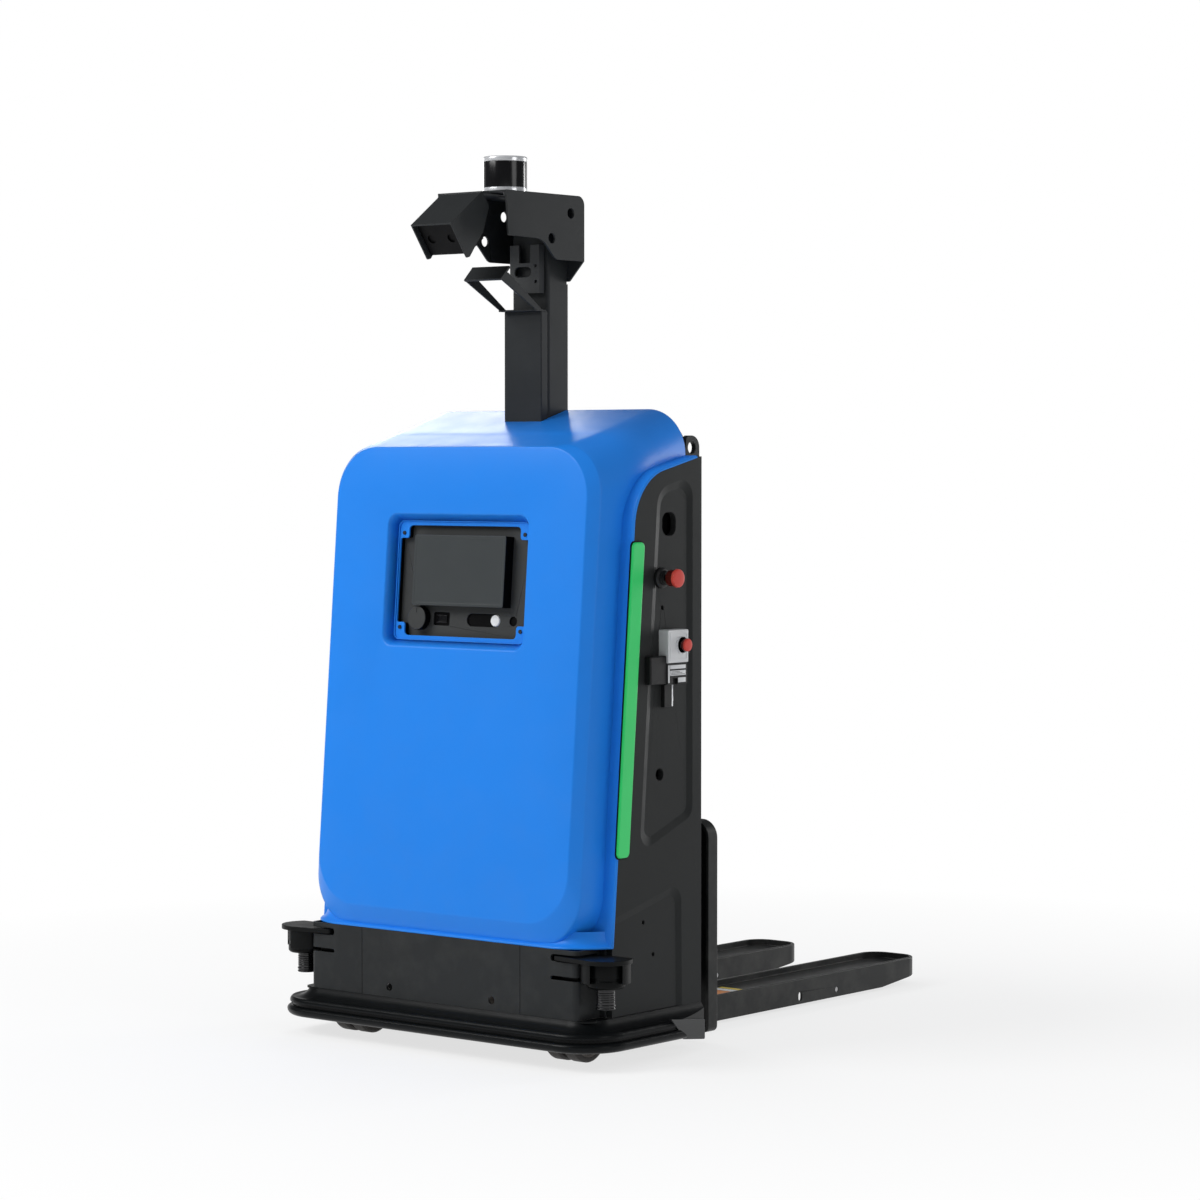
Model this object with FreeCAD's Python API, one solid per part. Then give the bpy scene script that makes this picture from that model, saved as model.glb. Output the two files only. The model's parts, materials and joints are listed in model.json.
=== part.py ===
import FreeCAD, Part
import math
import os

# Pallet-handling autonomous mobile robot, in millimetres. +Z is up, the front faces -Y and the forks
# point along +Y. Left and right are as seen from the front: left is -X, right is +X. Everything is
# modelled with Y = 0 on the front skirt and moved at the end, so that the origin lies on the floor
# under the middle of the overall box.

V = FreeCAD.Vector

# ---------------------------------------------------------------- driving dimensions
# body
SIDE_HALF = 445.0             # outer faces of the side panels
SKIRT_WALL = 6.0
SKIRT_CORNER = 15.0
NOTCH_WIDTH = 36.0            # how far the skirt stays inside the panels' outer faces
NOTCH_DEPTH = 80.0            # how far the scanner notches run back
SEAM_X = 243.0
STUD_X = 157.0
STUD_Z = 131.0
STUD_HOLE_R = 9.0
SLOT_REACH = 76.0             # length of the horizontal slots in the skirt's front
RIM_INSET = 5.0               # how far the bumper's inside stays inside the panels' outer faces
RIM_INSIDE_Y = 5.0
RIM_CORNER = 55.0
RIM_LOW_Z = 42.0
RIM_TOP_Z = 108.0
RIM_REACH = 60.0              # how far the lower lip stands out from the rim's inside
RIM_LIP = 53.0                # the same for the upper lip
RIM_END_FRONT_Y = 229.0
RIM_END_SLANT = 12.0          # turn of the rim ends away from the panels, degrees
RIM_END_SHEET = 6.0
RIM_END_TURN = 12.0           # rounding where a lip runs into its rim end
SKIRT_TOP_Z = 264.0
PANEL_THICK = 20.0
PANEL_FRONT_Y = 86.0
PANEL_REAR_Y = 407.0
PANEL_REAR_Z = 1365.0
PANEL_TOP_FALL = 13.0         # slope of the panel's top edge, degrees
PANEL_CORNER = 135.0
RECESS_DEPTH = 4.5
RECESS_BEVEL = 19.0
RECESS_FRONT = 74.0           # margins between the recesses and the panel's edges
RECESS_REAR = 32.0
RECESS_TOP = 35.0
UPPER_LOW_Z = 466.0           # front lower corner of the upper recess
LOWER_TOP_Z = 394.0           # rear upper corner of the lower recess
# blue front cover
RAKE = 4.6                    # lean of the face, degrees
PIVOT_Z = 376.0               # height where the face plane crosses Y = 0
FACE_INSET = 20.0             # width of the chamfer beside the face
FACE_LOW = -59.0              # ends of the face, measured along it from the pivot
FACE_HIGH = 1011.0
FACE_CORNER = 115.0
CHAMFER_DEPTH = 22.0
CHAMFER_INSET = 10.0          # how far the chamfer's outer edge stays inside the side wall
CHAMFER_LOW = -108.0
WALL_DEPTH = 105.0            # depth of the pod's side walls
WALL_INSET = 35.0             # how far the pod's side walls stay inside the panels' outer faces
ROOF_SLOPE = 0.341            # rise of the roof over depth, in the face's own frame
ROOF_CORNER = 95.0
COVER_WALL = 4.0
COVER_REAR_Y = 390.0
FLANGE_THICK = 6.0
LIP_THICK = 6.0
BAY_FRONT_Y = 128.0           # the bay for battery and controller is open behind the pod
BAY_TOP_Z = 470.0
BAY_GAP = 25.0                # room between the bay's contents and the panels
BATTERY_HEIGHT = 250.0
CONTROLLER_HEIGHT = 200.0
# screen pocket in the face
POCKET_HALF = 218.0
POCKET_LOW = 548.5
POCKET_HIGH = 861.0
POCKET_DEPTH = 23.0
POCKET_DRAFT = 15.0
POCKET_CORNER = 30.0
POCKET_FLOOR = 5.0
LEDGE_SIDE = 7.0              # floor left beside the opening, and above and below it
LEDGE_END = 13.0
EAR_WIDTH = 25.0
EAR_HEIGHT = 30.0
EAR_SCREW = (11.0, 18.0)      # place of the screws from the corners of the opening
# lifting eyes
LUG_EYE_Z = 1385.0
LUG_EYE_R = 14.0
LUG_THICK = 12.0
LUG_REACH = 50.0
LUG_INSET = 10.0
# lighting
STRIP_WIDTH = 42.0
STRIP_THICK = 8.0
STRIP_LOW_Z = 466.0
STRIP_HIGH_Z = 1172.0
# sensor mast and head
DUCT_HALF = 57.0
DUCT_FRONT_Y = 296.0
DUCT_DEPTH = 23.0
DUCT_TOP_Z = 1704.0
DUCT_FOOT_Z = 1400.0
MAST_GAP = 3.0
POST_HALF = 55.0
POST_WALL = 4.0
POST_FOOT_Z = 1150.0
HEAD_HALF = 105.0
HEAD_SHEET = 5.0
HEAD_FRONT_Y = 116.0
HEAD_REAR_Y = 397.0
HEAD_TOP_Z = 1974.0
HEAD_LOW_Z = 1822.0
HEAD_STEP_Z = 1868.0
HEAD_CORNER = 22.0
TAPER_LOW_Z = 1776.0          # lower end of the bracket's rear wall
HEAD_HOLE_R = 12.0
LIDAR_Y = 234.0
LIDAR_R = 52.3
LIDAR_HEIGHT = 87.0
LIDAR_RING = 15.0
HOOD_HALF = 61.5
HOOD_SHEET = 4.0
HOOD_TILT = 36.0
HOOD_LENGTH = 134.0
HOOD_HEIGHT = 98.0
HOOD_FRONT_Y = -26.0
HOOD_FRONT_Z = 1892.0
# scanners
SCANNER_OUT = 15.0            # how far the scanners' axis stands outside the panels
SCANNER_Y = 40.0
SCANNER_R = 44.0
SCANNER_LOW_Z = 184.0
SCANNER_TOP_Z = 240.0
OPTIC_R = 22.5
OPTIC_LOW_Z = 136.0
SCANNER_PLATE_R = 60.0
SCANNER_PLATE = 10.0
# base and drive
DECK_Z = 160.0
DECK_THICK = 10.0
DECK_RIB = 8.0
CASTER_PAD = 8.0
DRIVE_Y = 205.0
DRIVE_WHEEL_R = 115.0
DRIVE_WHEEL_WIDTH = 75.0
DRIVE_TREAD = 22.0
DRIVE_WELL_R = 150.0
WELL_WALL = 8.0
WELL_FLANGE = 8.0
WELL_RISE = 82.0              # height of the ring that stands on the deck
BEARING_PLATE = 10.0
BEARING_BOSS = 22.0
YOKE_NECK_R = 60.0
# swivel casters
CASTER_INSET = 81.0           # distance of the swivel axis from the skirt's side
CASTER_Y = 120.0
CASTER_R = 62.5
CASTER_TREAD = 12.0
CASTER_WHEEL = 38.0
CASTER_GAP = 14.0
CASTER_TRAIL = 28.0
CASTER_PIN_R = 12.0
# fork carriage
BACK_INSET = 15.0             # how far the backrest stays inside the panels' outer faces
BACK_FRONT_Y = 454.0
BACK_REAR_Y = 492.0
BACK_LOW_Z = 27.0
BACK_TOP_Z = 521.0
BACK_SHEET = 8.0
BACK_CORNER = 42.0
FORK_X = 189.0
FORK_HALF = 77.0
FORK_TIP_Y = 1576.0
FORK_TOP_Z = 70.0
FORK_LOW_Z = 7.0
FORK_WALL = 6.0
FORK_RECESS = 15.0
FORK_DECK = 5.0
FORK_CORNER = 55.0
# load wheels
ARM_PIVOT_Y = 1200.0
ARM_LENGTH = 180.0
ROLLER_R = 24.5
ROLLER_WIDTH = 92.0
ARM_PLATE = 8.0
# lift
RAIL_X = 296.0
RAIL_WIDTH = 48.0
RAIL_DEPTH = 42.0
RAIL_WALL = 6.0
RAIL_LOW_Z = 130.0
RAIL_TOP_Z = 640.0
ROD_R = 12.5
BARREL_R = 22.0
BARREL_LOW_Z = 112.0
BARREL_TOP_Z = 330.0
# clearances
RUN = 0.05                    # radial clearance of a pin in its bore
SLIDE = 0.5                   # gap beside sliding blocks and buttons
SEAT = 0.3                    # gap under a swivelling flange
FAR = 3000.0                  # reach of a cut that has to pass everything
CUT_OVER = 0.5                # how far a shaped cut starts outside the face that it enters

# ---------------------------------------------------------------- derived values
SLOPE = math.tan(math.radians(RAKE))
SKIRT_HALF = SIDE_HALF - NOTCH_WIDTH
RIM_HALF = SIDE_HALF - RIM_INSET
WALL_HALF = SIDE_HALF - WALL_INSET
CHAMFER_HALF = WALL_HALF - CHAMFER_INSET
FACE_HALF = CHAMFER_HALF - FACE_INSET
BACK_HALF = SIDE_HALF - BACK_INSET
SCANNER_X = SIDE_HALF + SCANNER_OUT
CASTER_X = SKIRT_HALF - CASTER_INSET
CENTRE_Y = (FORK_TIP_Y + RIM_INSIDE_Y - RIM_REACH) / 2
PANEL_INNER = SIDE_HALF - PANEL_THICK
POST_FRONT_Y = DUCT_FRONT_Y + DUCT_DEPTH + MAST_GAP
BULKHEAD_FACE_Y = PANEL_REAR_Y - SKIRT_WALL
BAY_REAR_Y = COVER_REAR_Y - 5
BAY_INNER = DRIVE_WELL_R + 40
DECK_TOP_Z = DECK_Z + DECK_THICK
PANEL_LOW_Z = SKIRT_TOP_Z - 5  # the panels' front edge is upright below this height
RECESS_X = SIDE_HALF - RECESS_DEPTH
BEARING_TOP_Z = DECK_TOP_Z + WELL_RISE + BEARING_PLATE + BEARING_BOSS


# ---------------------------------------------------------------- helpers
def box(x, y, z):
    return Part.makeBox(x[1] - x[0], y[1] - y[0], z[1] - z[0], V(x[0], y[0], z[0]))


def rod(radius, start, axis, length):
    return Part.makeCylinder(radius, length, V(*start), V(*axis))


def ring(outer, inner, start, axis, length):
    return rod(outer, start, axis, length).cut(rod(inner, start, axis, length))


def on_x(x):
    return lambda a, b: V(x, a, b)


def on_y(y):
    return lambda a, b: V(a, y, b)


def on_z(z):
    return lambda a, b: V(a, b, z)


def outline(corners, place):
    """Closed wire of straight runs joined by tangent arcs; a corner is (a, b) or (a, b, radius)."""
    points = [(c[0], c[1], c[2] if len(c) > 2 else 0.0) for c in corners]
    stretches = []
    for i, (a, b, radius) in enumerate(points):
        before, after = points[i - 1], points[(i + 1) % len(points)]
        here = V(a, b, 0)
        to_before = (V(before[0], before[1], 0) - here).normalize()
        to_after = (V(after[0], after[1], 0) - here).normalize()
        if radius <= 0:
            stretches.append((here, None, here))
            continue
        half = to_before.getAngle(to_after) / 2
        middle = (to_before + to_after).normalize()
        reach = radius / math.tan(half)
        top = here + middle * (radius / math.sin(half) - radius)
        stretches.append((here + to_before * reach, top, here + to_after * reach))
    edges = []
    for i, (start, top, end) in enumerate(stretches):
        last = stretches[i - 1][2]
        if last.distanceToPoint(start) > 1e-6:
            edges.append(Part.LineSegment(place(last.x, last.y), place(start.x, start.y)).toShape())
        if top is not None:
            arc = Part.Arc(place(start.x, start.y), place(top.x, top.y), place(end.x, end.y))
            edges.append(arc.toShape())
    return Part.Wire(edges)


def prism(corners, place, direction):
    return Part.Face(outline(corners, place)).extrude(V(*direction))


def loft(*wires):
    return Part.makeLoft(list(wires), True, True)


def ruled(first, second):
    """Solid between two outlines with matching edges, each pair spanned by straight rulings."""
    faces = [Part.makeRuledSurface(a, b) for a, b in zip(first.Edges, second.Edges)]
    shell = Part.makeShell(faces + [Part.Face(first), Part.Face(second)])
    shell.sewShape()
    solid = Part.makeSolid(shell)
    solid.fix(1e-4, 1e-4, 1e-4)
    return solid


def join(first, *others):
    return first.fuse(list(others)).removeSplitter()


def mirrored(shape):
    return shape.mirror(V(0, 0, 0), V(1, 0, 0))


def lean(shape):
    """Turns a shape made in the face's own frame (depth along Y) back by the rake."""
    turned = shape.copy()
    turned.rotate(V(0, 0, 0), V(1, 0, 0), -RAKE)
    turned.translate(V(0, 0, PIVOT_Z))
    return turned


def rectangle(half, low, high, radius):
    return [(-half, low, radius), (half, low, radius), (half, high, radius), (-half, high, radius)]


def moved(shape, x=0.0, y=0.0, z=0.0):
    copy = shape.copy()
    copy.translate(V(x, y, z))
    return copy


# ---------------------------------------------------------------- front cover
def pod(inset):
    """The raked pod as ruled lofts of rounded sections; inset gives its inner skin."""
    def section(depth, half, low, high, radius):
        corners = rectangle(half - inset, low + inset, high - inset, radius - inset)
        return outline(corners, on_y(depth + (inset if depth == 0 else 0)))
    deep = COVER_REAR_Y + 60
    face = section(0, FACE_HALF, FACE_LOW, FACE_HIGH, FACE_CORNER)
    rim = section(CHAMFER_DEPTH, CHAMFER_HALF, CHAMFER_LOW, FACE_HIGH + CHAMFER_DEPTH * ROOF_SLOPE,
                  FACE_CORNER)
    wall = section(WALL_DEPTH, WALL_HALF, CHAMFER_LOW, FACE_HIGH + WALL_DEPTH * ROOF_SLOPE, FACE_CORNER)
    back = section(deep, WALL_HALF - 5, CHAMFER_LOW, FACE_HIGH + deep * ROOF_SLOPE, ROOF_CORNER)
    return join(loft(face, rim), loft(rim, wall), loft(wall, back))


def panel_corners(grow=0.0):
    """Side outline of the panel, its front and top edges moved out by grow."""
    fall = math.tan(math.radians(PANEL_TOP_FALL))
    front = PANEL_FRONT_Y - grow
    rear_z = PANEL_REAR_Z + grow
    # the raked front edge and the falling top edge meet here
    corner_z = (rear_z - fall * (PANEL_REAR_Y - front + SLOPE * PANEL_LOW_Z)) / (1 - fall * SLOPE)
    corner_y = front + SLOPE * (corner_z - PANEL_LOW_Z)
    return [(front, RIM_TOP_Z), (front, PANEL_LOW_Z), (corner_y, corner_z, PANEL_CORNER + grow),
            (PANEL_REAR_Y, rear_z), (PANEL_REAR_Y, RIM_TOP_Z)]


def opening_edges():
    """Half width, low and high edge of the opening in the pocket's floor."""
    return (POCKET_HALF - POCKET_DRAFT - LEDGE_SIDE, POCKET_LOW + POCKET_DRAFT + LEDGE_END,
            POCKET_HIGH - POCKET_DRAFT - LEDGE_END)


def pocket_opening():
    """Opening in the pocket's floor: a rectangle that keeps an ear for a screw in each corner."""
    half, low, high = opening_edges()
    corners = []
    for sx, sz in ((-1, -1), (1, -1), (1, 1), (-1, 1)):
        edge = low if sz < 0 else high
        side = (sx * half, edge - sz * EAR_HEIGHT, 4.0)
        inner = (sx * (half - EAR_WIDTH), edge - sz * EAR_HEIGHT, 7.0)
        end = (sx * (half - EAR_WIDTH), edge, 14.0)
        corners += [side, inner, end] if sx == sz else [end, inner, side]
    return corners


def ear_centres():
    half, low, high = opening_edges()
    across, along = EAR_SCREW
    return [(sx * (half - across), z) for sx in (-1, 1) for z in (low + along, high - along)]


def corner_web():
    """Plate in the flange's plane that closes the gap under the pod's rounded lower corner."""
    depth = (PANEL_FRONT_Y - FLANGE_THICK + SLOPE * (PIVOT_Z - PANEL_LOW_Z)) * math.cos(math.radians(RAKE))
    corner = [(WALL_HALF - FACE_CORNER, CHAMFER_LOW - 20), (WALL_HALF - 2, CHAMFER_LOW - 20),
              (WALL_HALF - 2, CHAMFER_LOW + FACE_CORNER), (WALL_HALF - FACE_CORNER, CHAMFER_LOW + FACE_CORNER)]
    web = prism(corner, on_y(depth), (0, FLANGE_THICK - 1, 0))
    return web.cut(pod(COVER_WALL - 1))


def front_cover():
    skin = pod(0.0).cut(pod(COVER_WALL))
    # pocket walls and floor, drafted towards the inside
    deep = POCKET_DEPTH + POCKET_FLOOR
    mouth = outline(rectangle(POCKET_HALF, POCKET_LOW, POCKET_HIGH, POCKET_CORNER), on_y(0))
    floor = rectangle(POCKET_HALF - POCKET_DRAFT, POCKET_LOW + POCKET_DRAFT,
                      POCKET_HIGH - POCKET_DRAFT, POCKET_CORNER - 8)
    well = loft(mouth, outline(floor, on_y(POCKET_DEPTH)))
    tray_mouth = rectangle(POCKET_HALF + COVER_WALL, POCKET_LOW - COVER_WALL,
                           POCKET_HIGH + COVER_WALL, POCKET_CORNER + COVER_WALL)
    tray_floor = rectangle(POCKET_HALF - POCKET_DRAFT + COVER_WALL, POCKET_LOW + POCKET_DRAFT - COVER_WALL,
                           POCKET_HIGH - POCKET_DRAFT + COVER_WALL, POCKET_CORNER - 4)
    tray = loft(outline(tray_mouth, on_y(0)), outline(tray_floor, on_y(deep)))
    skin = skin.fuse(tray).cut(well)
    skin = skin.cut(prism(pocket_opening(), on_y(POCKET_DEPTH - 1), (0, POCKET_FLOOR + 3, 0)))
    for x, z in ear_centres():
        skin = skin.cut(rod(2.6, (x, POCKET_DEPTH - 1, z), (0, 1, 0), POCKET_FLOOR + 2))
    # open underside behind the chamfer band
    straight = WALL_HALF - FACE_CORNER
    skin = skin.cut(box((-straight, straight), (CHAMFER_DEPTH + 8, FAR), (CHAMFER_LOW - 60, CHAMFER_LOW + 60)))
    for side in (-1, 1):
        skin = skin.fuse(corner_web() if side > 0 else mirrored(corner_web()))
    cover = lean(skin)
    cover = cover.cut(box((-FAR, FAR), (COVER_REAR_Y, FAR), (0, FAR)))
    cover = cover.cut(box((-FAR, FAR), (-FAR, FAR), (0, SKIRT_TOP_Z)))
    cover = cover.cut(box((-FAR, FAR), (BAY_FRONT_Y, FAR), (0, BAY_TOP_Z)))
    # strips that run in front of and over the side panels
    for side in (-1, 1):
        band = prism(panel_corners(FLANGE_THICK), on_x(0), (WALL_INSET + 7, 0, 0))
        band = band.cut(prism(panel_corners(0.0), on_x(-1), (SIDE_HALF, 0, 0)))
        band = band.common(box((-1, SIDE_HALF), (0, COVER_REAR_Y), (SKIRT_TOP_Z, 1500)))
        band = moved(band, x=WALL_HALF - 7)
        for z in (330.0, 640.0, 940.0, 1222.0):
            y = PANEL_FRONT_Y + SLOPE * (z - SKIRT_TOP_Z)
            band = band.cut(rod(3.0, (WALL_HALF + 18, y - 30, z), (0, 1, 0), 60))
        cover = cover.fuse(band if side > 0 else mirrored(band))
    # bottom lip that flares out to the panels
    half = FACE_HALF - 50
    bend_x = CHAMFER_HALF + 8
    bend_y = 24.0
    flare = [Part.LineSegment(V(-half, 0, 0), V(half, 0, 0)).toShape(),
             Part.Arc(V(half, 0, 0), V(bend_x, bend_y, 0), V(SIDE_HALF, PANEL_FRONT_Y, 0)).toShape(),
             Part.LineSegment(V(SIDE_HALF, PANEL_FRONT_Y, 0), V(-SIDE_HALF, PANEL_FRONT_Y, 0)).toShape(),
             Part.Arc(V(-SIDE_HALF, PANEL_FRONT_Y, 0), V(-bend_x, bend_y, 0), V(-half, 0, 0)).toShape()]
    lip = Part.Face(Part.Wire(flare)).extrude(V(0, 0, LIP_THICK))
    lip = lip.cut(box((-straight, straight), (CHAMFER_DEPTH + 8, FAR), (-1, LIP_THICK + 1)))
    cover = cover.fuse(moved(lip, z=SKIRT_TOP_Z))
    # hole for the mast
    cover = cover.cut(box((-DUCT_HALF, DUCT_HALF), (DUCT_FRONT_Y, 900), (DUCT_FOOT_Z - 50, 2000)))
    return cover.removeSplitter()


# ---------------------------------------------------------------- screen
PANEL_PLATE = 4.0
PANEL_LINER = 10.0            # wall between the pocket's floor and the key plate
DISPLAY_PROUD = 29.0
DISPLAY_HALF = 139.5
DISPLAY_LOW = 647.0
DISPLAY_HIGH = 810.5
DISPLAY_FRAME = 8.0
KNOB_R = 28.0
KNOB_X = -130.0
KNOB_LENGTH = 20.5
KNOB_REACH = 21.0             # how far the knob's face stands out from the key plate
KNOB_SHAFT_R = 6.0
KEY_ROW = 617.5               # height of the key row along the face
BUTTON_X = 95.5
BUTTON_R = 14.5
SOCKET_X = 149.0
SOCKET_R = 11.5
PORT_X = -70.0
KEY_PLATE_DEPTH = POCKET_DEPTH + POCKET_FLOOR + PANEL_LINER


def key_openings():
    """Holes in the key plate: port, slot with the round button, socket, knob bore."""
    port = rectangle(25.0, -15.5, 15.5, 4.0)
    slot = rectangle(51.0, -15.0, 15.0, 14.9)
    start, deep = KEY_PLATE_DEPTH - 1, PANEL_PLATE + 2
    return [moved(prism(port, on_y(start), (0, deep, 0)), x=PORT_X, z=KEY_ROW),
            moved(prism(slot, on_y(start), (0, deep, 0)), x=BUTTON_X + BUTTON_R - 51.0, z=KEY_ROW),
            rod(SOCKET_R, (SOCKET_X, start, KEY_ROW), (0, 1, 0), deep),
            rod(KNOB_SHAFT_R + RUN, (KNOB_X, start, KEY_ROW), (0, 1, 0), deep)]


def hmi_panel():
    """Shallow tray behind the pocket's floor; its bottom is the key plate."""
    half = POCKET_HALF - POCKET_DRAFT + 2
    low, high = POCKET_LOW + POCKET_DRAFT - 2, POCKET_HIGH - POCKET_DRAFT + 2
    start = POCKET_DEPTH + POCKET_FLOOR
    tray = prism(rectangle(half, low, high, 12.0), on_y(start), (0, PANEL_LINER + PANEL_PLATE, 0))
    tray = tray.cut(prism(rectangle(*opening_edges(), 4.0), on_y(start - 1), (0, PANEL_LINER + 1, 0)))
    for hole in key_openings():
        tray = tray.cut(hole)
    # closed box behind the key row carries the knob and the button
    behind = KEY_PLATE_DEPTH + PANEL_PLATE
    back = box((-half + 20, half - 20), (behind, behind + 30), (KEY_ROW - 26, KEY_ROW + 26))
    hollow = box((-half + 23, half - 23), (behind, behind + 27), (KEY_ROW - 23, KEY_ROW + 23))
    return lean(join(tray, back.cut(hollow)))


def hmi_display():
    front = KEY_PLATE_DEPTH - DISPLAY_PROUD
    frame = DISPLAY_FRAME
    body = prism(rectangle(DISPLAY_HALF, DISPLAY_LOW, DISPLAY_HIGH, 4.0), on_y(front), (0, DISPLAY_PROUD, 0))
    screen = prism(rectangle(DISPLAY_HALF - frame, DISPLAY_LOW + frame, DISPLAY_HIGH - frame, 2.0),
                   on_y(front - 1), (0, 2.0, 0))
    return lean(body.cut(screen))


def hmi_knob():
    front = KEY_PLATE_DEPTH - KNOB_REACH
    knob = rod(KNOB_R, (KNOB_X, front, KEY_ROW), (0, 1, 0), KNOB_LENGTH)
    knob = knob.makeChamfer(1.5, [e for e in knob.Edges if e.Length > 2 * KNOB_R
                                  and e.CenterOfMass.y < front + 1])
    shaft = rod(KNOB_SHAFT_R, (KNOB_X, front + KNOB_LENGTH - 1, KEY_ROW), (0, 1, 0),
                KNOB_REACH - KNOB_LENGTH + PANEL_PLATE + 15)
    return lean(join(knob, shaft))


def hmi_button():
    cap = rod(BUTTON_R - SLIDE, (BUTTON_X, KEY_PLATE_DEPTH - 3, KEY_ROW), (0, 1, 0), 26)
    return lean(cap)


# ---------------------------------------------------------------- skirt, rim, base
def front_skirt():
    inner = SKIRT_HALF - SKIRT_WALL
    turn = PANEL_INNER
    back = NOTCH_DEPTH + SKIRT_WALL
    plan = [(-turn, back), (-turn, NOTCH_DEPTH), (-SKIRT_HALF, NOTCH_DEPTH), (-SKIRT_HALF, 0, SKIRT_CORNER),
            (SKIRT_HALF, 0, SKIRT_CORNER), (SKIRT_HALF, NOTCH_DEPTH), (turn, NOTCH_DEPTH), (turn, back),
            (inner, back), (inner, SKIRT_WALL, SKIRT_CORNER - SKIRT_WALL),
            (-inner, SKIRT_WALL, SKIRT_CORNER - SKIRT_WALL), (-inner, back)]
    skirt = prism(plan, on_z(RIM_TOP_Z), (0, 0, SKIRT_TOP_Z - RIM_TOP_Z))
    for side in (-1, 1):
        seam = box((-0.75, 0.75), (-1, 1.5), (0, FAR))
        skirt = skirt.cut(moved(seam, x=side * SEAM_X))
        skirt = skirt.cut(rod(STUD_HOLE_R, (side * STUD_X, -5, STUD_Z), (0, 1, 0), 20))
        start, end = SKIRT_HALF - SLOT_REACH, SKIRT_HALF + 20
        for z, tall in ((SCANNER_TOP_Z + SCANNER_PLATE / 2, 16.0), (SCANNER_LOW_Z + 16, 9.0)):
            slot = prism([(start, -tall / 2, tall * 0.45), (end, -tall / 2), (end, tall / 2),
                          (start, tall / 2, tall * 0.45)], on_y(-5), (0, NOTCH_DEPTH - 3, 0))
            slot = moved(slot, z=z)
            skirt = skirt.cut(slot if side > 0 else mirrored(slot))
    return skirt


def rim_end_x(y, back):
    """Half width at y of the rim ends' outer face, or of a face that lies back behind it."""
    turn = math.tan(math.radians(RIM_END_SLANT))
    return RIM_HALF + RIM_LIP + 4 - back - turn * (y - RIM_END_FRONT_Y)


def rim_end_side():
    """Side outline of a rim end; its first three corners are the edge that meets the lips."""
    front, rear = RIM_END_FRONT_Y, PANEL_REAR_Y - 5
    return [(front, RIM_LOW_Z + 51), (front + 55, RIM_LOW_Z + 8, RIM_END_TURN), (front + 68, RIM_LOW_Z - 4),
            (rear, RIM_LOW_Z - 19, 4), (rear, RIM_LOW_Z + 27, 4)]


def bumper_rim():
    """Two lips and a cove, swept along the front and both sides."""
    def at(reach, z):
        return V(-RIM_HALF - reach, PANEL_REAR_Y, z)
    groove = RIM_LIP - 7
    runs = [(0, RIM_LOW_Z), (RIM_REACH - 14, RIM_LOW_Z)]
    edges = [Part.LineSegment(at(*runs[0]), at(*runs[1])).toShape(),
             Part.Arc(at(*runs[1]), at(RIM_REACH - 2, RIM_LOW_Z + 7), at(RIM_REACH, RIM_LOW_Z + 15)).toShape(),
             Part.Arc(at(RIM_REACH, RIM_LOW_Z + 15), at(RIM_REACH - 3, RIM_LOW_Z + 20),
                      at(groove, RIM_LOW_Z + 21)).toShape(),
             Part.LineSegment(at(groove, RIM_LOW_Z + 21), at(groove, RIM_LOW_Z + 29)).toShape(),
             Part.LineSegment(at(groove, RIM_LOW_Z + 29), at(RIM_LIP, RIM_LOW_Z + 31)).toShape(),
             Part.Arc(at(RIM_LIP, RIM_LOW_Z + 31), at(RIM_LIP - 0.5, RIM_LOW_Z + 38),
                      at(RIM_LIP - 5, RIM_LOW_Z + 43)).toShape(),
             Part.Arc(at(RIM_LIP - 5, RIM_LOW_Z + 43), at(19, RIM_TOP_Z - 18), at(5, RIM_TOP_Z)).toShape(),
             Part.LineSegment(at(5, RIM_TOP_Z), at(0, RIM_TOP_Z)).toShape(),
             Part.LineSegment(at(0, RIM_TOP_Z), at(*runs[0])).toShape()]
    profile = Part.Wire(edges)
    start = V(-RIM_HALF, PANEL_REAR_Y, RIM_LOW_Z)
    left = V(-RIM_HALF, RIM_INSIDE_Y + RIM_CORNER, RIM_LOW_Z)
    slant = RIM_CORNER * (1 - math.sqrt(0.5))
    left_mid = V(-RIM_HALF + slant, RIM_INSIDE_Y + slant, RIM_LOW_Z)
    left_end = V(-RIM_HALF + RIM_CORNER, RIM_INSIDE_Y, RIM_LOW_Z)

    def flip(p):
        return V(-p.x, p.y, p.z)
    path = Part.Wire([Part.LineSegment(start, left).toShape(),
                      Part.Arc(left, left_mid, left_end).toShape(),
                      Part.LineSegment(left_end, flip(left_end)).toShape(),
                      Part.Arc(flip(left_end), flip(left_mid), flip(left)).toShape(),
                      Part.LineSegment(flip(left), flip(start)).toShape()])
    rim = path.makePipeShell([profile], True, False)
    # shelves under the scanners close the corner notches
    # the side lips stop at the slanting rim ends
    beyond = [(rim_end_x(0, RIM_END_SHEET), 0), (rim_end_x(FAR, RIM_END_SHEET), FAR), (FAR, FAR), (FAR, 0)]
    (front, top), (bend_y, bend_z), (low_y, low_z) = [corner[:2] for corner in rim_end_side()[:3]]
    behind = [(front, FAR), (front, top), (bend_y, bend_z, RIM_END_TURN), (low_y, low_z), (low_y, -FAR),
              (FAR, -FAR), (FAR, FAR)]
    room = prism(beyond, on_z(0), (0, 0, FAR)).common(prism(behind, on_x(0), (FAR, 0, 0)))
    rim = rim.cut(room).cut(mirrored(room))
    for side in (-1, 1):
        shelf = prism([(SKIRT_HALF, RIM_INSIDE_Y), (RIM_HALF, RIM_INSIDE_Y, RIM_CORNER - 30),
                       (RIM_HALF, NOTCH_DEPTH), (SKIRT_HALF, NOTCH_DEPTH)], on_z(RIM_TOP_Z - 4), (0, 0, 4))
        rim = rim.fuse(shelf if side > 0 else mirrored(shelf))
    return rim.removeSplitter()


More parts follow.
